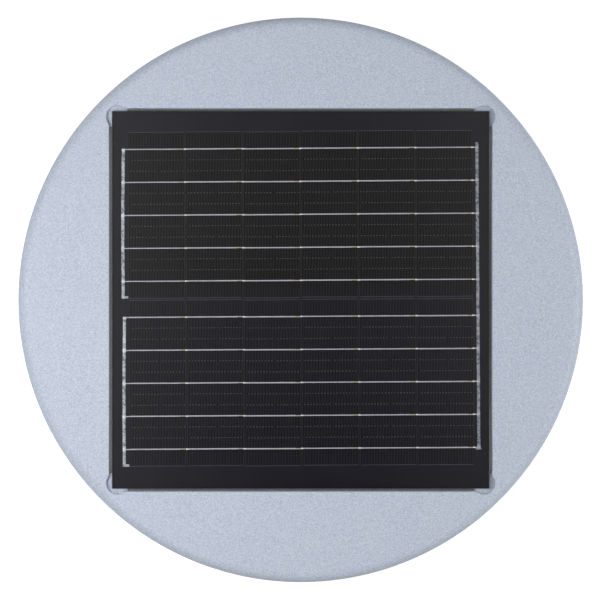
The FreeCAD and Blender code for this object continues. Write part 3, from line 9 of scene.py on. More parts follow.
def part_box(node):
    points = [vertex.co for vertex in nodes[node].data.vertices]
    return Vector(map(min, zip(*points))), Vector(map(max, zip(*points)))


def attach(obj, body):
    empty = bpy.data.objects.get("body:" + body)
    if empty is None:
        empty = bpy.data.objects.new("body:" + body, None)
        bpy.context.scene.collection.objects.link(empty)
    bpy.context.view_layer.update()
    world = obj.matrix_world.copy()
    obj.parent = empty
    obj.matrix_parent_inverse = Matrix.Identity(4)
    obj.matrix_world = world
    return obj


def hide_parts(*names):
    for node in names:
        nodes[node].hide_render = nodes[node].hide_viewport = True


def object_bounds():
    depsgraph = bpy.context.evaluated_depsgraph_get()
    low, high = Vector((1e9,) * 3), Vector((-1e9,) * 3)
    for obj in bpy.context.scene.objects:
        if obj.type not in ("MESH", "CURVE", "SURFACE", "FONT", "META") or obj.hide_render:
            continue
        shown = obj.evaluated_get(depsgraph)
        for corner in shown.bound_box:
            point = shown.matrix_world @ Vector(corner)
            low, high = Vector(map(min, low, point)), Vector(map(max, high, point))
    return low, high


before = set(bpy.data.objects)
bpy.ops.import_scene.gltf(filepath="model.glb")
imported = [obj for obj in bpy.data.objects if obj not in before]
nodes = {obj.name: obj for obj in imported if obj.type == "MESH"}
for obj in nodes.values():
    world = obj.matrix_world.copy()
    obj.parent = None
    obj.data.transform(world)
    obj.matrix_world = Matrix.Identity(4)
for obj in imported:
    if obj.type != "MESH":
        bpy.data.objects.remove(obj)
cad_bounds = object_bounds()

# Solar attic fan, seen from straight above. All lengths are in metres.
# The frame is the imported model's own: +Z up, origin at the middle of the seal's underside.

MM = 0.001
rng = random.Random(7)


# ---- materials --------------------------------------------------------------------------------------


class Surface:
    """A Principled material in the making, with detail sized in metres from object coordinates."""

    def __init__(self, name, colour, roughness, metallic=0.0, **shader):
        self.material = bpy.data.materials.new(name)
        self.material.use_nodes = True
        self.tree = self.material.node_tree
        self.shader = self.tree.nodes["Principled BSDF"]
        values = {"Base Color": (*colour, 1.0), "Roughness": roughness, "Metallic": metallic}
        values |= {word.replace("_", " "): value for word, value in shader.items()}
        for socket, value in values.items():
            self.shader.inputs[socket].default_value = value
        self.place = self.node("ShaderNodeTexCoord", {}).outputs["Object"]

    def node(self, kind, inputs, **settings):
        """A new node with its settings, and with its inputs set to a value or joined to a socket."""
        made = self.tree.nodes.new(kind)
        for name, value in settings.items():
            setattr(made, name, value)
        for socket, value in inputs.items():
            if isinstance(value, bpy.types.NodeSocket):
                self.tree.links.new(value, made.inputs[socket])
            else:
                made.inputs[socket].default_value = value
        return made

    def math(self, operation, first, second):
        """Arithmetic on two values or sockets."""
        return self.node("ShaderNodeMath", {0: first, 1: second}, operation=operation).outputs[0]

    def spread(self, factor, low, high, start=0.3, end=0.7):
        """Stretches a noise's middle range to run from low to high."""
        ends = {"Value": factor, "From Min": start, "From Max": end, "To Min": low, "To Max": high}
        return self.node("ShaderNodeMapRange", ends).outputs[0]

    def grain(self, size, stretch=(1, 1, 1), detail=2.0):
        """Cloudy noise with features of about a size, longer along an axis whose stretch is larger."""
        scale = [1 / (size * s) for s in stretch]
        mapped = self.node("ShaderNodeMapping", {"Vector": self.place, "Scale": scale}).outputs[0]
        inputs = {"Vector": mapped, "Scale": 1.0, "Detail": detail}
        return self.node("ShaderNodeTexNoise", inputs).outputs[0]

    def lines(self, distance, size, detail=1.0):
        """Noise that changes only along one distance, such as the marks of turning or brushing."""
        inputs = {"W": self.math("DIVIDE", distance, size), "Scale": 1.0, "Detail": detail}
        return self.node("ShaderNodeTexNoise", inputs, noise_dimensions="1D").outputs[0]

    def axes(self):
        """The object's own X, Y and Z."""
        return self.node("ShaderNodeSeparateXYZ", {0: self.place}).outputs

    def radius(self):
        """The distance from the Z axis."""
        x, y, _ = self.axes()
        squares = self.math("ADD", self.math("MULTIPLY", x, x), self.math("MULTIPLY", y, y))
        return self.math("SQRT", squares, 0.0)

    def crystals(self, size):
        """A random value for each grain of a spangled or crystalline surface."""
        cells = self.node("ShaderNodeTexVoronoi", {"Vector": self.place, "Scale": 1 / size})
        return self.node("ShaderNodeSeparateColor", {0: cells.outputs["Color"]}).outputs[0]

    def attribute(self, name):
        """A value that the mesh carries at each of its points."""
        return self.node("ShaderNodeAttribute", {}, attribute_name=name).outputs["Fac"]

    def tint(self, factor, colour, amount):
        """Mixes a colour in, by a factor from 0 to 1 times amount."""
        base = self.shader.inputs["Base Color"]
        before = base.links[0].from_socket if base.links else tuple(base.default_value)
        share = self.math("MULTIPLY", factor, amount)
        mixed = self.node("ShaderNodeMix", {0: share, 6: before, 7: (*colour, 1.0)}, data_type="RGBA")
        self.tree.links.new(mixed.outputs[2], base)
        return self

    def gloss(self, factor, smoothest, roughest):
        """Lets the roughness run between two values by a noise."""
        self.tree.links.new(self.spread(factor, smoothest, roughest), self.shader.inputs["Roughness"])
        return self

    def relief(self, factor, depth, strength=1.0):
        """Raises the surface by a factor times depth."""
        bump = self.node("ShaderNodeBump", {"Height": factor, "Distance": depth, "Strength": strength})
        self.tree.links.new(bump.outputs[0], self.shader.inputs["Normal"])
        return self


def cover_paint():
    """Pale silver-blue powder coat with a fine, blotchy grain."""
    s = Surface("cover_paint", (0.46, 0.515, 0.62), 0.5, Specular_IOR_Level=0.35)
    s.tint(s.spread(s.grain(3.0 * MM, detail=3), 0, 1, 0.38, 0.62), (0.535, 0.560, 0.645), 0.4)
    s.tint(s.spread(s.grain(1.2 * MM), 0, 1, 0.44, 0.62), (0.69, 0.750, 0.85), 0.5)
    s.tint(s.spread(s.grain(1.4 * MM), 1, 0, 0.34, 0.52), (0.28, 0.320, 0.42), 0.5)
    s.tint(s.spread(s.grain(70 * MM), 0, 1), (0.56, 0.60, 0.68), 0.10)
    s.gloss(s.grain(1.5 * MM), 0.42, 0.6)
    return s.relief(s.grain(1.1 * MM, detail=3), 0.06 * MM, 0.7)


def spun_aluminium():
    """Sheet with the rings that its turning leaves."""
    s = Surface("spun_aluminium", (0.74, 0.75, 0.76), 0.36, 1.0)
    along = s.math("ADD", s.radius(), s.axes()[2])
    rings = s.lines(along, 0.9 * MM, 3)
    s.tint(s.spread(s.lines(along, 6 * MM), 0, 1), (0.58, 0.59, 0.61), 0.5)
    s.tint(s.spread(s.grain(40 * MM), 0, 1), (0.66, 0.67, 0.69), 0.4)
    s.tint(s.spread(s.grain(0.8 * MM, (6, 1, 1)), 0, 1), (0.83, 0.84, 0.85), 0.2)
    s.gloss(rings, 0.28, 0.46)
    return s.relief(rings, 0.02 * MM)


def galvanised():
    """Zinc-coated steel with its spangle and a dull bloom."""
    s = Surface("zinc_steel", (0.66, 0.67, 0.68), 0.42, 0.9)
    spangle = s.crystals(4.5 * MM)
    s.tint(spangle, (0.4752, 0.4824, 0.4896), 0.55)
    s.tint(s.spread(s.grain(9 * MM), 0, 1), (0.72, 0.74, 0.76), 0.25)
    s.gloss(spangle, 0.34, 0.52)
    return s.relief(s.grain(0.7 * MM), 0.015 * MM)


def bright_steel(name, colour, roughness):
    """Turned or ground steel with fine marks and faint handling wear."""
    s = Surface(name, colour, roughness, 1.0)
    s.tint(s.spread(s.grain(2.5 * MM, detail=3), 0, 1), [c * 0.7 for c in colour], 0.35)
    s.gloss(s.grain(0.6 * MM, (1, 1, 0.15)), roughness * 0.75, roughness * 1.4)
    return s.relief(s.lines(s.axes()[2], 0.12 * MM), 0.004 * MM)


def moulded(name, colour, roughness, texture=0.45 * MM):
    """Moulded plastic: a fine spark-eroded texture with slow changes of tone."""
    s = Surface(name, colour, roughness, Specular_IOR_Level=0.45)
    lighter = [min(1.0, c * 1.5 + 0.01) for c in colour]
    s.tint(s.spread(s.grain(18 * MM), 0, 1), lighter, 0.4)
    s.tint(s.spread(s.grain(texture * 2), 0, 1), [c * 0.7 for c in colour], 0.35)
    s.gloss(s.grain(4 * MM), roughness * 0.85, roughness * 1.2)
    return s.relief(s.grain(texture, detail=1), 0.03 * MM)


def rubber(name, colour, depth):
    """Black rubber or foam with a skin as deep as given and paler, dusty patches."""
    s = Surface(name, colour, 0.75, Specular_IOR_Level=0.35)
    s.tint(s.spread(s.grain(6 * MM, detail=4), 0, 1), [c * 1.9 + 0.012 for c in colour], 0.45)
    s.gloss(s.grain(3 * MM), 0.62, 0.85)
    return s.relief(s.grain(0.8 * MM, detail=3), depth)


def grey_sealant():
    """Tooled silicone, slightly glossy and dusty. The attribute 'inner' marks its deep side by the glass,
    which is darkened as painted shade.
    """
    s = Surface("grey_sealant", (0.135, 0.138, 0.150), 0.5)
    s.tint(s.spread(s.grain(5 * MM, detail=3), 0, 1), (0.225, 0.230, 0.245), 0.5)
    s.tint(s.spread(s.grain(1.2 * MM), 0, 1), (0.09, 0.09, 0.10), 0.3)
    # Painted shade: darker toward the glass, where the bead lies deep in the narrow gap.
    s.tint(s.attribute("inner"), (0.035, 0.036, 0.042), 0.8)
    s.gloss(s.grain(2 * MM), 0.38, 0.62)
    return s.relief(s.grain(1.5 * MM), 0.08 * MM)


# The laminate's parts lie in clear resin against the glass: next to no sheen of their own, and the
# glass's mirror over them as a coat.
UNDER_GLASS = {"Specular_IOR_Level": 0.04, "Coat_Weight": 1.0, "Coat_Roughness": 0.03, "Coat_IOR": 1.46}


def backsheet(name, emboss):
    """Black laminate with the film's faint emboss, whose grain has the given size."""
    s = Surface(name, (0.0118, 0.0110, 0.0158), 0.5, **UNDER_GLASS)
    s.tint(s.spread(s.grain(30 * MM, detail=3), 0, 1), (0.0140, 0.0130, 0.0190), 0.7)
    s.gloss(s.grain(1.2 * MM), 0.42, 0.58)
    return s.relief(s.grain(emboss), 0.01 * MM)


# Where the cells' coating turns bluer, from the Y where that starts to the Y where it is full: at the lower
# edge of each string.
BLUE_EDGES = ((14 * MM, 2 * MM), (-144 * MM, -157 * MM))


def cell_silicon():
    """Etched silicon under a blue-black coating."""
    s = Surface("cell_silicon", (0.0011, 0.0010, 0.0024), 0.4, **{**UNDER_GLASS, "Coat_Weight": 0.84})
    s.tint(s.spread(s.grain(26 * MM, detail=3), 0, 1), (0.0014, 0.0015, 0.0046), 0.5)
    s.tint(s.spread(s.grain(1.1 * MM, (1, 9, 1)), 0, 1), (0.0020, 0.0018, 0.0022), 0.5)
    for start, end in BLUE_EDGES:
        s.tint(s.spread(s.axes()[1], 0, 1, start, end), (0.0038, 0.0050, 0.0140), 0.5)
    s.gloss(s.grain(2 * MM), 0.34, 0.46)
    return s.relief(s.grain(0.5 * MM), 0.003 * MM)


def printed_silver(name, colour, deeper):
    """Fired silver paste, uneven along its length."""
    s = Surface(name, colour, 0.6, **UNDER_GLASS)
    s.tint(s.spread(s.grain(1.6 * MM, detail=3), 0, 1), deeper, 0.6)
    s.gloss(s.grain(0.8 * MM), 0.5, 0.7)
    return s.relief(s.grain(0.4 * MM), 0.004 * MM)


def tinned_copper(name, colour, shade, sheen=0.5, mottle=0.6):
    """Solder-dipped copper: bright, with dull patches. The attribute 'tone' marks blobs of solder, which are
    whitened: partly brighter solder, and on the ribbons' humps partly a painted highlight.
    """
    s = Surface(name, colour, 0.45, 0.15, Specular_IOR_Level=sheen)
    s.tint(s.spread(s.grain(1.9 * MM, detail=4), 0, 1, 0.46, 0.60), shade, mottle)
    s.tint(s.spread(s.grain(7 * MM), 0, 1), [c * 0.8 for c in colour], 0.35)
    # Near-white by 'tone': brighter solder, and on the ribbons' humps partly a painted highlight.
    s.tint(s.attribute("tone"), (0.97, 0.97, 0.97), 0.9)
    s.gloss(s.grain(1.0 * MM), 0.35, 0.55)
    return s.relief(s.grain(0.9 * MM), 0.03 * MM)


def motor_casting():
    """Cast aluminium, anodised dark."""
    s = Surface("motor_casting", (0.30, 0.31, 0.33), 0.5, 1.0)
    s.tint(s.spread(s.grain(7 * MM, detail=4), 0, 1), (0.21, 0.22, 0.24), 0.5)
    s.tint(s.spread(s.grain(0.9 * MM), 0, 1), (0.42, 0.43, 0.45), 0.35)
    s.gloss(s.grain(1.5 * MM), 0.42, 0.62)
    return s.relief(s.grain(0.7 * MM, detail=3), 0.05 * MM)


def black_coat():
    """Powder coat over steel wire: satin, with a fine orange peel and a little dust."""
    s = Surface("screen_metal", (0.085, 0.085, 0.088), 0.45, Specular_IOR_Level=0.45)
    s.tint(s.spread(s.grain(6 * MM, detail=3), 0, 1), (0.13, 0.128, 0.122), 0.5)
    s.gloss(s.grain(1.2 * MM), 0.36, 0.58)
    return s.relief(s.grain(0.5 * MM), 0.02 * MM)


def lamination():
    """Stacked electrical steel sheets, half a millimetre each."""
    s = Surface("lamination", (0.16, 0.165, 0.18), 0.45, 0.9)
    sheets = s.lines(s.axes()[2], 0.5 * MM)
    s.tint(s.spread(sheets, 0, 1), (0.34, 0.33, 0.32), 0.6)
    s.tint(s.spread(s.grain(5 * MM), 0, 1), (0.10, 0.11, 0.15), 0.5)
    return s.relief(sheets, 0.05 * MM)


def winding():
    """Enamelled copper wire."""
    s = Surface("winding", (0.46, 0.15, 0.05), 0.28, 0.75, Coat_Weight=0.5, Coat_Roughness=0.15)
    s.tint(s.spread(s.grain(1.5 * MM), 0, 1), (0.62, 0.24, 0.09), 0.5)
    return s.relief(s.lines(s.axes()[2], 0.45 * MM), 0.06 * MM)


def board():
    """Green solder mask over a copper pour."""
    s = Surface("board", (0.012, 0.075, 0.035), 0.35, Coat_Weight=0.4, Coat_Roughness=0.2)
    tracks = s.node("ShaderNodeTexBrick", {"Vector": s.place, "Scale": 1.0, "Mortar Size": 0.25 * MM})
    tracks.inputs["Brick Width"].default_value = 5 * MM
    tracks.inputs["Row Height"].default_value = 1.6 * MM
    s.tint(tracks.outputs["Fac"], (0.03, 0.15, 0.07), 0.8)
    s.tint(s.spread(s.grain(2 * MM), 0, 1), (0.008, 0.05, 0.025), 0.5)
    return s.relief(tracks.outputs["Fac"], 0.03 * MM)


def jacket(name, colour):
    """Cable jacket: drawn plastic, with lengthwise streaks and scuffs."""
    s = Surface(name, colour, 0.48)
    s.tint(s.spread(s.grain(3 * MM, (4, 1, 1)), 0, 1), [c * 2 + 0.015 for c in colour], 0.35)
    s.gloss(s.grain(1.5 * MM), 0.4, 0.62)
    return s.relief(s.grain(0.6 * MM, (5, 1, 1)), 0.02 * MM)


def clear_glass(name, tint, milkiness, index, roughness):
    """Glass as a surface: it lets tinted light through, and mirrors by its index and the angle.

    An index of 1 is for the pane's faces: the laminate under them carries their mirror as its coat.
    """
    material = bpy.data.materials.new(name)
    material.use_nodes = True
    tree = material.node_tree
    tree.nodes.clear()
    add = tree.nodes.new
    see, mirror, milk = (add(f"ShaderNodeBsdf{kind}") for kind in ("Transparent", "Glossy", "Diffuse"))
    see.inputs["Color"].default_value = (*tint, 1.0)
    mirror.inputs["Roughness"].default_value = roughness
    milk.inputs["Color"].default_value = (0.42, 0.48, 0.47, 1.0)
    haze, coat, fresnel = (add(f"ShaderNode{kind}") for kind in ("MixShader", "MixShader", "Fresnel"))
    place, dust, level = (add(f"ShaderNode{kind}") for kind in ("TexCoord", "TexNoise", "MapRange"))
    out = add("ShaderNodeOutputMaterial")
    dust.inputs["Scale"].default_value = 1 / (22 * MM)
    fresnel.inputs["IOR"].default_value = index
    ends = {"From Min": 0.3, "From Max": 0.7, "To Min": milkiness * 0.6, "To Max": milkiness * 1.4}
    for socket, value in ends.items():
        level.inputs[socket].default_value = value
    join = tree.links.new
    join(place.outputs["Object"], dust.inputs["Vector"])
    join(dust.outputs[0], level.inputs["Value"])
    join(level.outputs[0], haze.inputs[0])
    join(see.outputs[0], haze.inputs[1])
    join(milk.outputs[0], haze.inputs[2])
    join(fresnel.outputs[0], coat.inputs[0])
    join(haze.outputs[0], coat.inputs[1])
    join(mirror.outputs[0], coat.inputs[2])
    join(coat.outputs[0], out.inputs["Surface"])
    return material


# Finishes by the record's slots, and below them those that only the panel's finer pieces use.
finishes = {
    "cover_paint": cover_paint(),
    "foam_tape": rubber("foam_tape", (0.03, 0.03, 0.032), 0.12 * MM),
    "backsheet": backsheet("backsheet", 0.9 * MM),
    "black_sealant": backsheet("black_sealant", 1.6 * MM),
    "grey_sealant": grey_sealant(),
    "spun_aluminium": spun_aluminium(),
    "epdm": rubber("epdm", (0.016, 0.016, 0.017), 0.08 * MM),
    "screen_metal": black_coat(),
    "zinc_steel": galvanised(),
    "fastener_steel": bright_steel("fastener_steel", (0.70, 0.70, 0.71), 0.3),
    "motor_casting": motor_casting(),
    "lamination": lamination(),
    "winding": winding(),
    "board": board(),
    "component_plastic": moulded("component_plastic", (0.02, 0.02, 0.022), 0.4, 0.3 * MM),
    "ground_steel": bright_steel("ground_steel", (0.66, 0.66, 0.66), 0.18),
    "magnet": bright_steel("magnet", (0.24, 0.24, 0.25), 0.4),
    "hub_plastic": moulded("hub_plastic", (0.025, 0.026, 0.028), 0.42),
    "blade_plastic": moulded("blade_plastic", (0.045, 0.047, 0.05), 0.38, 0.6 * MM),
    "black_plastic": moulded("black_plastic", (0.040, 0.040, 0.044), 0.45),
    "terminal_plastic": moulded("terminal_plastic", (0.72, 0.72, 0.68), 0.4),
    "cable_jacket": jacket("cable_jacket", (0.024, 0.024, 0.026)),
    "lead_jacket": jacket("lead_jacket", (0.45, 0.05, 0.04)),
    "tinned_copper": tinned_copper("tinned_copper", (0.66, 0.67, 0.69), (0.38, 0.39, 0.41)),
    "cell": cell_silicon(),
    "ribbon_solder": tinned_copper("ribbon_solder", (0.53, 0.53, 0.65), (0.38, 0.38, 0.48), 0.1),
    "bus_solder": tinned_copper("bus_solder", (0.44, 0.44, 0.50), (0.11, 0.11, 0.14), 0.1, 1.0),
    "bus_dull": tinned_copper("bus_dull", (0.34, 0.34, 0.38), (0.08, 0.08, 0.10), 0.1, 0.95),
    "cell_finger": printed_silver("cell_finger", (0.060, 0.052, 0.046), (0.040, 0.036, 0.036)),
    "cell_dash": printed_silver("cell_dash", (0.23, 0.215, 0.20), (0.15, 0.14, 0.13)),
    "cell_edge": printed_silver("cell_edge", (0.105, 0.105, 0.135), (0.060, 0.062, 0.088)),
    "cell_busbar": printed_silver("cell_busbar", (0.52, 0.43, 0.32), (0.38, 0.31, 0.225)),
}
materials = {slot: surface.material for slot, surface in finishes.items()}
materials["panel_glass"] = clear_glass("panel_glass", (0.984, 0.988, 0.986), 0.002, 1.0, 0.03)
materials["glass_edge"] = clear_glass("glass_edge", (0.50, 0.54, 0.53), 0.03, 1.3, 0.45)


def paint_cad_nodes():
    """Gives every CAD node the finish that its record slot names."""
    for thing in nodes.values():
        for i, old in enumerate(thing.data.materials):
            thing.data.materials[i] = materials[old.name.split(".")[0]]


# ---- mesh helpers -----------------------------------------------------------------------------------


def solids(node):
    """The lowest and highest corner of every separate solid of a CAD node."""
    mesh = bmesh.new()
    mesh.from_mesh(nodes[node].data)
    bmesh.ops.remove_doubles(mesh, verts=mesh.verts, dist=0.001 * MM)
    left = set(mesh.verts)
    found = []
    while left:
        stack = [left.pop()]
        points = []
        while stack:
            vertex = stack.pop()
            points.append(vertex.co.copy())
            for edge in vertex.link_edges:
                other = edge.other_vert(vertex)
                if other in left:
                    left.remove(other)
                    stack.append(other)
        found.append((Vector(map(min, *points)), Vector(map(max, *points))))
    mesh.free()
    return sorted(found, key=lambda box: (round(box[0].x, 5), round(box[0].y, 5)))


def add_block(mesh, low, high, material=0):
    """A block between two corners, as six faces."""
    corners = [(x, y, z) for z in (low[2], high[2]) for y in (low[1], high[1]) for x in (low[0], high[0])]
    verts = [mesh.verts.new(c) for c in corners]
    faces = ((0, 2, 3, 1), (4, 5, 7, 6), (0, 1, 5, 4), (2, 6, 7, 3), (0, 4, 6, 2), (1, 3, 7, 5))
    for face in faces:
        mesh.faces.new([verts[i] for i in face]).material_index = material


def add_sweep(mesh, rings, material=0):
    """A closed skin through rings of equally many points, its ends filled. Returns the rings' vertices."""
    loops = [[mesh.verts.new(p) for p in ring] for ring in rings]
    count = len(loops[0])
    for a, b in zip(loops, loops[1:]):
        for i in range(count):
            j = (i + 1) % count
            mesh.faces.new((a[i], a[j], b[j], b[i])).material_index = material
    mesh.faces.new(loops[0][::-1]).material_index = material
    mesh.faces.new(loops[-1]).material_index = material
    return loops


def panel_piece(name, mesh, finish_names, replaced, smooth_angle=None):
    """Turns a mesh in the making into a piece of the panel, in place of a CAD node.

    Edges flatter than smooth_angle, in degrees, are shaded smooth.
    """
    bmesh.ops.recalc_face_normals(mesh, faces=mesh.faces)
    data = bpy.data.meshes.new(name)
    mesh.to_mesh(data)
    mesh.free()
    for finish in finish_names:
        data.materials.append(materials[finish])
    if smooth_angle is not None:
        data.shade_smooth()
        data.set_sharp_from_angle(angle=math.radians(smooth_angle))
    made = bpy.data.objects.new(name, data)
    bpy.context.scene.collection.objects.link(made)
    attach(made, "housing")
    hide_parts(replaced)


# ---- photovoltaic panel -----------------------------------------------------------------------------


GLASS_SEAM = 0.45 * MM         # how far the glass's edges are ground off
GLASS_LIFT = 0.03 * MM         # keeps the glass's underside off the face of the seal below it


def make_glass():
    """The cover glass, with seamed edges."""
    low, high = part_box("panel_glass")
    low.z += GLASS_LIFT
    mesh = bmesh.new()
    add_block(mesh, low, high)
    bmesh.ops.bevel(mesh, geom=mesh.edges[:], offset=GLASS_SEAM, segments=3, profile=0.5, affect="EDGES")
    side = high.x - 2 * GLASS_SEAM
    for face in mesh.faces:
        middle = face.calc_center_median()
        if max(abs(middle.x), abs(middle.y)) > side:
            face.material_index = 1
    panel_piece("panel_glass_pane", mesh, ["panel_glass", "glass_edge"], "panel_glass")


# A cell's finishes, in the order of its material numbers.
CELL_FINISHES = ["cell", "cell_finger", "cell_dash", "cell_edge", "cell_busbar"]
WAFER, FINGER, DASH, RIM, BUSBAR = range(len(CELL_FINISHES))
PRINT_THICKNESS = 0.012 * MM   # each kind of print is a quarter of this thicker than the one before it
PRINT_MARGIN = 0.2 * MM        # from the wafer's edge to the ends of its fingers
FINGER_PITCH = 1.455 * MM
FINGER_WIDTH = 0.24 * MM
RIM_WIDTH = 0.3 * MM
BUSBAR_WIDTH = 0.9 * MM
BUSBAR_MARGIN = 0.3 * MM
DASH_LENGTH = 0.75 * MM
DASH_WIDTH = 0.36 * MM


def add_print(mesh, start, end, width, top, kind, axis=0):
    """A printed line from point to point along X (0) or Y (1), standing a hair above its cell."""
    low, high = list(start), list(end)
    low[1 - axis] -= width / 2
    high[1 - axis] += width / 2
    add_block(mesh, (*low, top), (*high, top + PRINT_THICKNESS * (1 + kind / 4)), kind)


def add_dashes(mesh, fingers, y, top, first_gap):
    """Dashes in every second gap between fingers. A row that starts at gap 1 leaves out its middle dash."""
    middle = len(fingers) // 2
    for i in range(first_gap, len(fingers) - 1, 2):
        if first_gap == 1 and i in (middle, middle + 1):
            continue
        x = (fingers[i] + fingers[i + 1] - DASH_LENGTH) / 2
        length = DASH_LENGTH * rng.uniform(0.85, 1.15)
        add_print(mesh, (x, y), (x + length, y), DASH_WIDTH, top, DASH)


def add_cell(mesh, low, high, busbars):
    """A wafer with its printed fingers, rim lines, busbars and the dashes that link the fingers."""
    add_block(mesh, low, high, WAFER)
    top = high.z
    lower, upper = low.y + PRINT_MARGIN, high.y - PRINT_MARGIN
    count = int((high.x - low.x - 2 * PRINT_MARGIN) / FINGER_PITCH) + 1
    first = (low.x + high.x) / 2 - FINGER_PITCH * (count - 1) / 2
    fingers = [first + FINGER_PITCH * i for i in range(count)]
    for x in fingers:
        add_print(mesh, (x, lower), (x, upper), FINGER_WIDTH, top, FINGER, axis=1)
    for y in (lower, upper):
        add_print(mesh, (fingers[0], y), (fingers[-1], y), RIM_WIDTH, top, RIM)
    for y in busbars:
        add_print(mesh, (low.x + BUSBAR_MARGIN, y), (high.x - BUSBAR_MARGIN, y), BUSBAR_WIDTH, top, BUSBAR)
    for pair, (above, below) in enumerate(zip(busbars, busbars[1:])):
        for third in (1, 2):
            add_dashes(mesh, fingers, above + (below - above) * third / 3, top, 1 + (pair + third) % 2)


def busbar_rows():
    """The Y of every busbar, top first, from the ribbons' boxes."""
    return sorted({round((low.y + high.y) / 2, 5) for low, high in solids("cell_ribbons")}, reverse=True)


STRINGS_TURN = math.radians(0.38)
WAFER_SLIP = 0.25 * MM         # up or down, at most
WAFER_TURN = 0.07              # degrees either way, at most


def turn_strings(mesh):
    """The strings were laid by hand, a little askew."""
    bmesh.ops.rotate(mesh, cent=(0, 0, 0), matrix=Matrix.Rotation(STRINGS_TURN, 3, "Z"), verts=mesh.verts)


def make_cells(rows):
    """Two strings of wafers, each wafer a little out of line."""
    for name in ("cells_upper_string", "cells_lower_string"):
        mesh = bmesh.new()
        string_low, string_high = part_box(name)
        busbars = [y for y in rows if string_low.y < y < string_high.y]
        for low, high in solids(name):
            start = len(mesh.verts)
            add_cell(mesh, low, high, busbars)
            mesh.verts.ensure_lookup_table()
            slip = Vector((0, rng.uniform(-WAFER_SLIP, WAFER_SLIP), 0))
            turn = Matrix.Rotation(math.radians(rng.uniform(-WAFER_TURN, WAFER_TURN)), 4, "Z")
            middle = (low + high) / 2
            for v in mesh.verts[start:]:
                v.co = middle + turn @ (v.co - middle) + slip
        turn_strings(mesh)
        panel_piece(name.replace("cells", "wafers"), mesh, CELL_FINISHES, name)


def ripple(x, y, z):
    """Smooth noise about zero, about one wave to each unit of x, y and z."""
    return noise.noise((x, y, z))


def add_soldered_strip(mesh, rings, tones, material=0):
    """A strip through its rings, each ring's points marked with how far they are whitened: brighter solder,
    and on the ribbons' humps partly a painted highlight.
    """
    tone = mesh.verts.layers.float["tone"]
    for loop, value in zip(add_sweep(mesh, rings, material), tones):
        for v in loop:
            v[tone] = value


bus_boxes = solids("bus_strips")
LOWER_LEFT, UPPER_LEFT, RIGHT = range(len(bus_boxes))
BUS_WIDTH = 2.75 * MM
BUS_TO_MIDDLE = 1.6 * MM       # from a left strip's outer side, since its foot widens its box inward
# How far each cross strip leans to the right at its upper end, and how deep it bows to the left.
BUS_LEAN = (1.0 * MM, 1.0 * MM, 0.0)
BUS_BOW = (0.4 * MM, 0.5 * MM, 0.0)
BUS_STEP = 1.1 * MM
BUS_JOINT = 2.4 * MM           # how far a joint's solder spreads along the strip
BUS_PROFILE = ((-1, 0), (-1, 0.6), (-0.8, 1), (-0.3, 1.1), (0.3, 1.1), (0.8, 1), (1, 0.6), (1, 0))
FOOT_PROFILE = ((0, 0), (0, 0.6), (0.2, 1), (0.8, 1), (1, 0.6), (1, 0))
FOOT_WIDTHS = (2.2 * MM, 2.2 * MM, 1.2 * MM)


def bus_middle(index, y):
    """The X of a cross strip's middle at a height y."""
    low, high = bus_boxes[index]
    t = (y - low.y) / (high.y - low.y)
    straight = (low.x + high.x) / 2 if index == RIGHT else low.x + BUS_TO_MIDDLE
    return straight + BUS_LEAN[index] * t - 4 * BUS_BOW[index] * t * (1 - t)


RIBBON_SHARE = 0.76            # of the CAD's width, since solder rounds the ribbon's edges off
RIBBON_STEP = 1.5 * MM
RIBBON_WAVER = 0.10 * MM       # sideways, at most
RIBBON_BLOB = 2.6 * MM         # how far the solder humps where a ribbon comes up from the cell before
RIBBON_PROFILE = ((-1, 0), (-1, 0.55), (-0.7, 0.95), (0, 1.0), (0.7, 0.95), (1, 0.55), (1, 0))
STRIP_REACH = 5 * MM           # a ribbon that ends this near the strips' outer side is soldered to a strip


def make_ribbons():
    """Soldered ribbons: rounded strips that waver a little and hump where they come up between cells, each
    hump whitened partly as a painted highlight.
    """
    mesh = bmesh.new()
    mesh.verts.layers.float.new("tone")
    left, right = (corner.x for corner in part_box("bus_strips"))
    for low, high in solids("cell_ribbons"):
        y = (low.y + high.y) / 2
        half, thick = RIBBON_SHARE * (high.y - low.y) / 2, high.z - low.z
        seed = rng.uniform(0, 50)
        from_cell = low.x > left + STRIP_REACH
        if not from_cell:
            low.x = bus_middle(LOWER_LEFT if y < 0 else UPPER_LEFT, y)
        if high.x > right - STRIP_REACH:
            high.x = bus_middle(RIGHT, y)
        steps = max(4, round((high.x - low.x) / RIBBON_STEP))
        rings, tones = [], []
        for i in range(steps + 1):
            x = low.x + (high.x - low.x) * i / steps
            blob = max(0.0, 1 - (x - low.x) / RIBBON_BLOB) if from_cell else 0.0
            middle = y + RIBBON_WAVER * ripple(x * 90, y * 40, seed)
            width = half * (1 + 0.07 * ripple(x * 300, seed, 2.0) + 0.45 * blob ** 0.5)
            crest = thick * (1 + 0.25 * blob)
            rings.append([(x, middle + a * width, low.z + b * crest) for a, b in RIBBON_PROFILE])
            # Painted highlight, in part: the solder is whitened by how high it humps, for the glint such a
            # hump catches.
            tones.append(blob ** 0.5)
        add_soldered_strip(mesh, rings, tones)
    turn_strings(mesh)
    panel_piece("soldered_ribbons", mesh, ["ribbon_solder"], "cell_ribbons", 50)


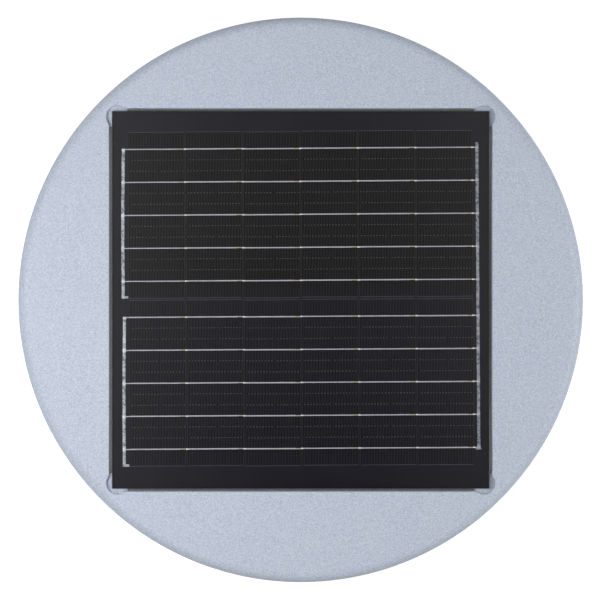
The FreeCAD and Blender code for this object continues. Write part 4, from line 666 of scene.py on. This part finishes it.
def make_bus_strips(rows):
    """Cross strips with hand-soldered joints where the ribbons meet them. The right one is duller."""
    mesh = bmesh.new()
    mesh.verts.layers.float.new("tone")
    for index, (low, high) in enumerate(bus_boxes):
        dull = int(index == RIGHT)
        brightest = 0.35 if dull else 0.8
        thick = high.z - low.z
        foot = [(low.y + FOOT_WIDTHS[index] * a, low.z + thick * b) for a, b in FOOT_PROFILE]
        add_sweep(mesh, [[(end, y, z) for y, z in foot] for end in (low.x, high.x)], dull)
        steps = round((high.y - low.y) / BUS_STEP)
        rings, tones = [], []
        for i in range(steps + 1):
            y = low.y + (high.y - low.y) * i / steps
            x = bus_middle(index, y)
            joint = max(max(0.0, 1 - abs(y - row) / BUS_JOINT) for row in rows)
            half = BUS_WIDTH / 2 * (1 + 0.10 * joint + 0.07 * ripple(y * 260, x * 50, 4.0))
            crest = thick * (1 + 0.5 * joint + 0.4 * max(0.0, ripple(y * 180, x, 9.0)))
            middle = x + 0.18 * MM * ripple(y * 60, x * 10, 1.0)
            rings.append([(middle + a * half, y, low.z + b * crest) for a, b in BUS_PROFILE])
            tone = 0.75 * joint + 0.5 * max(0.0, ripple(y * 90, x * 9, 6.0))
            tones.append(brightest * min(1.0, tone))
        add_soldered_strip(mesh, rings, tones, dull)
    turn_strings(mesh)
    panel_piece("soldered_bus_strips", mesh, ["bus_solder", "bus_dull"], "bus_strips", 50)


BEAD_STEP = 4 * MM
BEAD_TAPER = 6 * MM            # a bead thins toward its ends, to a little over half its height


def make_sealant():
    """Tooled beads between the glass and the pocket's wall, hollow on top, with a weight for painted shade
    that is full at the glass.
    """
    mesh = bmesh.new()
    painted_shade_layer = mesh.verts.layers.float.new("inner")
    for low, high in solids("panel_sealant"):
        along_x = high.x - low.x > high.y - low.y
        start, end = (low.x, high.x) if along_x else (low.y, high.y)
        inner, outer = sorted((low.y, high.y) if along_x else (low.x, high.x), key=abs)
        steps = round((end - start) / BEAD_STEP)
        rings = []
        for i in range(steps + 1):
            s = start + (end - start) * i / steps
            taper = min(1.0, min(s - start, end - s) / BEAD_TAPER + 0.55)
            height = (high.z - low.z) * taper * (1 + 0.06 * ripple(s * 70, inner * 30, 3.0))
            hollow = 0.12 + 0.05 * ripple(s * 120, outer * 30, 5.0)
            dips = ((0, 0), (0.22, hollow), (0.5, hollow * 1.6), (0.78, hollow), (1, 0))
            ring = []
            for across, up in ((0, 0), *((a, 1 - dip) for a, dip in dips), (1, 0)):
                w = inner + (outer - inner) * across
                z = low.z + height * up
                ring.append((s, w, z) if along_x else (w, s, z))
            rings.append(ring)
        # Each point's weight of painted shade: full on the glass side, none at the pocket's wall.
        for loop in add_sweep(mesh, rings):
            for v in loop:
                away = abs(v.co.y if along_x else v.co.x)
                v[painted_shade_layer] = min(1.0, max(0.0, (abs(outer) - away) / abs(outer - inner)))
    panel_piece("sealant_beads", mesh, ["grey_sealant"], "panel_sealant", 60)


# ---- stage, light and camera ------------------------------------------------------------------------


FLOOR_HALF = 6.0               # from its middle to its edges
FLOOR_GAP = 0.05 * MM          # below the object's lowest face
FLOOR_GLOW = 1.5
GLOW_SHARE = 0.6               # of what the camera sees; the rest is paper


def make_floor():
    """A pale seamless floor, lit a little from within where the camera sees it."""
    material = bpy.data.materials.new("studio_floor")
    material.use_nodes = True
    tree = material.node_tree
    tree.nodes.clear()
    add, join = tree.nodes.new, tree.links.new
    paper, glow, mix = add("ShaderNodeBsdfDiffuse"), add("ShaderNodeEmission"), add("ShaderNodeMixShader")
    path, level, out = add("ShaderNodeLightPath"), add("ShaderNodeMath"), add("ShaderNodeOutputMaterial")
    paper.inputs["Color"].default_value = (0.9, 0.9, 0.9, 1)
    glow.inputs["Strength"].default_value = FLOOR_GLOW
    level.operation = "MULTIPLY"
    level.inputs[1].default_value = GLOW_SHARE
    join(path.outputs["Is Camera Ray"], level.inputs[0])
    join(level.outputs[0], mix.inputs[0])
    join(paper.outputs[0], mix.inputs[1])
    join(glow.outputs[0], mix.inputs[2])
    join(mix.outputs[0], out.inputs["Surface"])
    mesh = bmesh.new()
    bmesh.ops.create_grid(mesh, x_segments=1, y_segments=1, size=FLOOR_HALF)
    data = bpy.data.meshes.new("studio_floor")
    mesh.to_mesh(data)
    mesh.free()
    data.materials.append(material)
    floor = bpy.data.objects.new("studio_floor", data)
    floor.location.z = cad_bounds[0].z - FLOOR_GAP
    bpy.context.scene.collection.objects.link(floor)


# The sky's light by height: the sine of the angle above the horizon, and the level there.
SKY = ((0.0, 0.19), (0.25, 0.25), (0.55, 0.42), (0.92, 0.48), (0.985, 0.46), (0.9955, 0.15), (1.0, 0.15))
# Straight overhead the level also runs unevenly across X and Y, by a slope and a bow for each. That sets in
# between two heights.
OVERHEAD = ((-1.64, 165.0), (2.9, -25.0))
UNEVEN_FROM, UNEVEN_FULL = 0.99, 0.995


def make_world():
    """Soft light all round, dimmest at the horizon and straight overhead."""
    world = bpy.data.worlds.new("studio")
    bpy.context.scene.world = world
    world.use_nodes = True
    tree = world.node_tree
    join = tree.links.new

    def calculate(operation, first, second):
        made = tree.nodes.new("ShaderNodeMath")
        made.operation = operation
        for socket, value in zip(made.inputs, (first, second)):
            if isinstance(value, float):
                socket.default_value = value
            else:
                join(value, socket)
        return made.outputs[0]

    kinds = ("TexCoord", "SeparateXYZ", "ValToRGB")
    place, axes, ramp = (tree.nodes.new(f"ShaderNode{kind}") for kind in kinds)
    join(place.outputs["Generated"], axes.inputs[0])
    join(axes.outputs[2], ramp.inputs[0])
    stops = ramp.color_ramp.elements
    while len(stops) < len(SKY):
        stops.new(0.5)
    for stop, (height, level) in zip(stops, SKY):
        stop.position = height
        stop.color = (level, level, level, 1)
    above = calculate("SUBTRACT", axes.outputs[2], UNEVEN_FROM)
    share = calculate("DIVIDE", calculate("MAXIMUM", above, 0.0), UNEVEN_FULL - UNEVEN_FROM)
    ways = []
    for away, (slope, bow) in zip(axes.outputs, OVERHEAD):
        ways.append(calculate("MULTIPLY", away, calculate("ADD", calculate("MULTIPLY", away, bow), slope)))
    uneven = calculate("MULTIPLY", calculate("ADD", *ways), calculate("MINIMUM", share, 1.0))
    join(calculate("ADD", ramp.outputs[0], uneven), tree.nodes["Background"].inputs["Color"])


LIT_POINT = Vector((0, 0, 0.15))


def add_softbox(name, place, size, power):
    """A round softbox turned to the cover."""
    light = bpy.data.lights.new(name, "AREA")
    light.shape = "DISK"
    light.size = size
    light.energy = power
    box = bpy.data.objects.new(name, light)
    box.location = place
    box.rotation_mode = "QUATERNION"
    box.rotation_quaternion = (LIT_POINT - Vector(place)).to_track_quat("-Z", "Y")
    bpy.context.scene.collection.objects.link(box)


EYE = (-0.66 * MM, -0.1 * MM, 4.0)
COVER_SHARE = 0.9432           # of the frame's width, at the cells' height


def make_camera():
    """Straight above the cover, which fills most of the frame."""
    low, high = cad_bounds
    cells_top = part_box("cell_ribbons")[1].z
    camera = bpy.data.cameras.new("camera")
    camera.lens = camera.sensor_width * (EYE[2] - cells_top) * COVER_SHARE / (high.x - low.x)
    camera.clip_end = 30.0
    eye = bpy.data.objects.new("camera", camera)
    eye.location = EYE
    bpy.context.scene.collection.objects.link(eye)
    bpy.context.scene.camera = eye


paint_cad_nodes()
rows = busbar_rows()
make_glass()
make_cells(rows)
make_ribbons()
make_bus_strips(rows)
make_sealant()
make_floor()
make_world()
add_softbox("key", (-0.65, -0.10, 1.10), 0.6, 7.2)
add_softbox("fill", (1.7, -0.1, 0.9), 1.0, 13.5)
make_camera()
bpy.context.scene.view_settings.view_transform = "Standard"
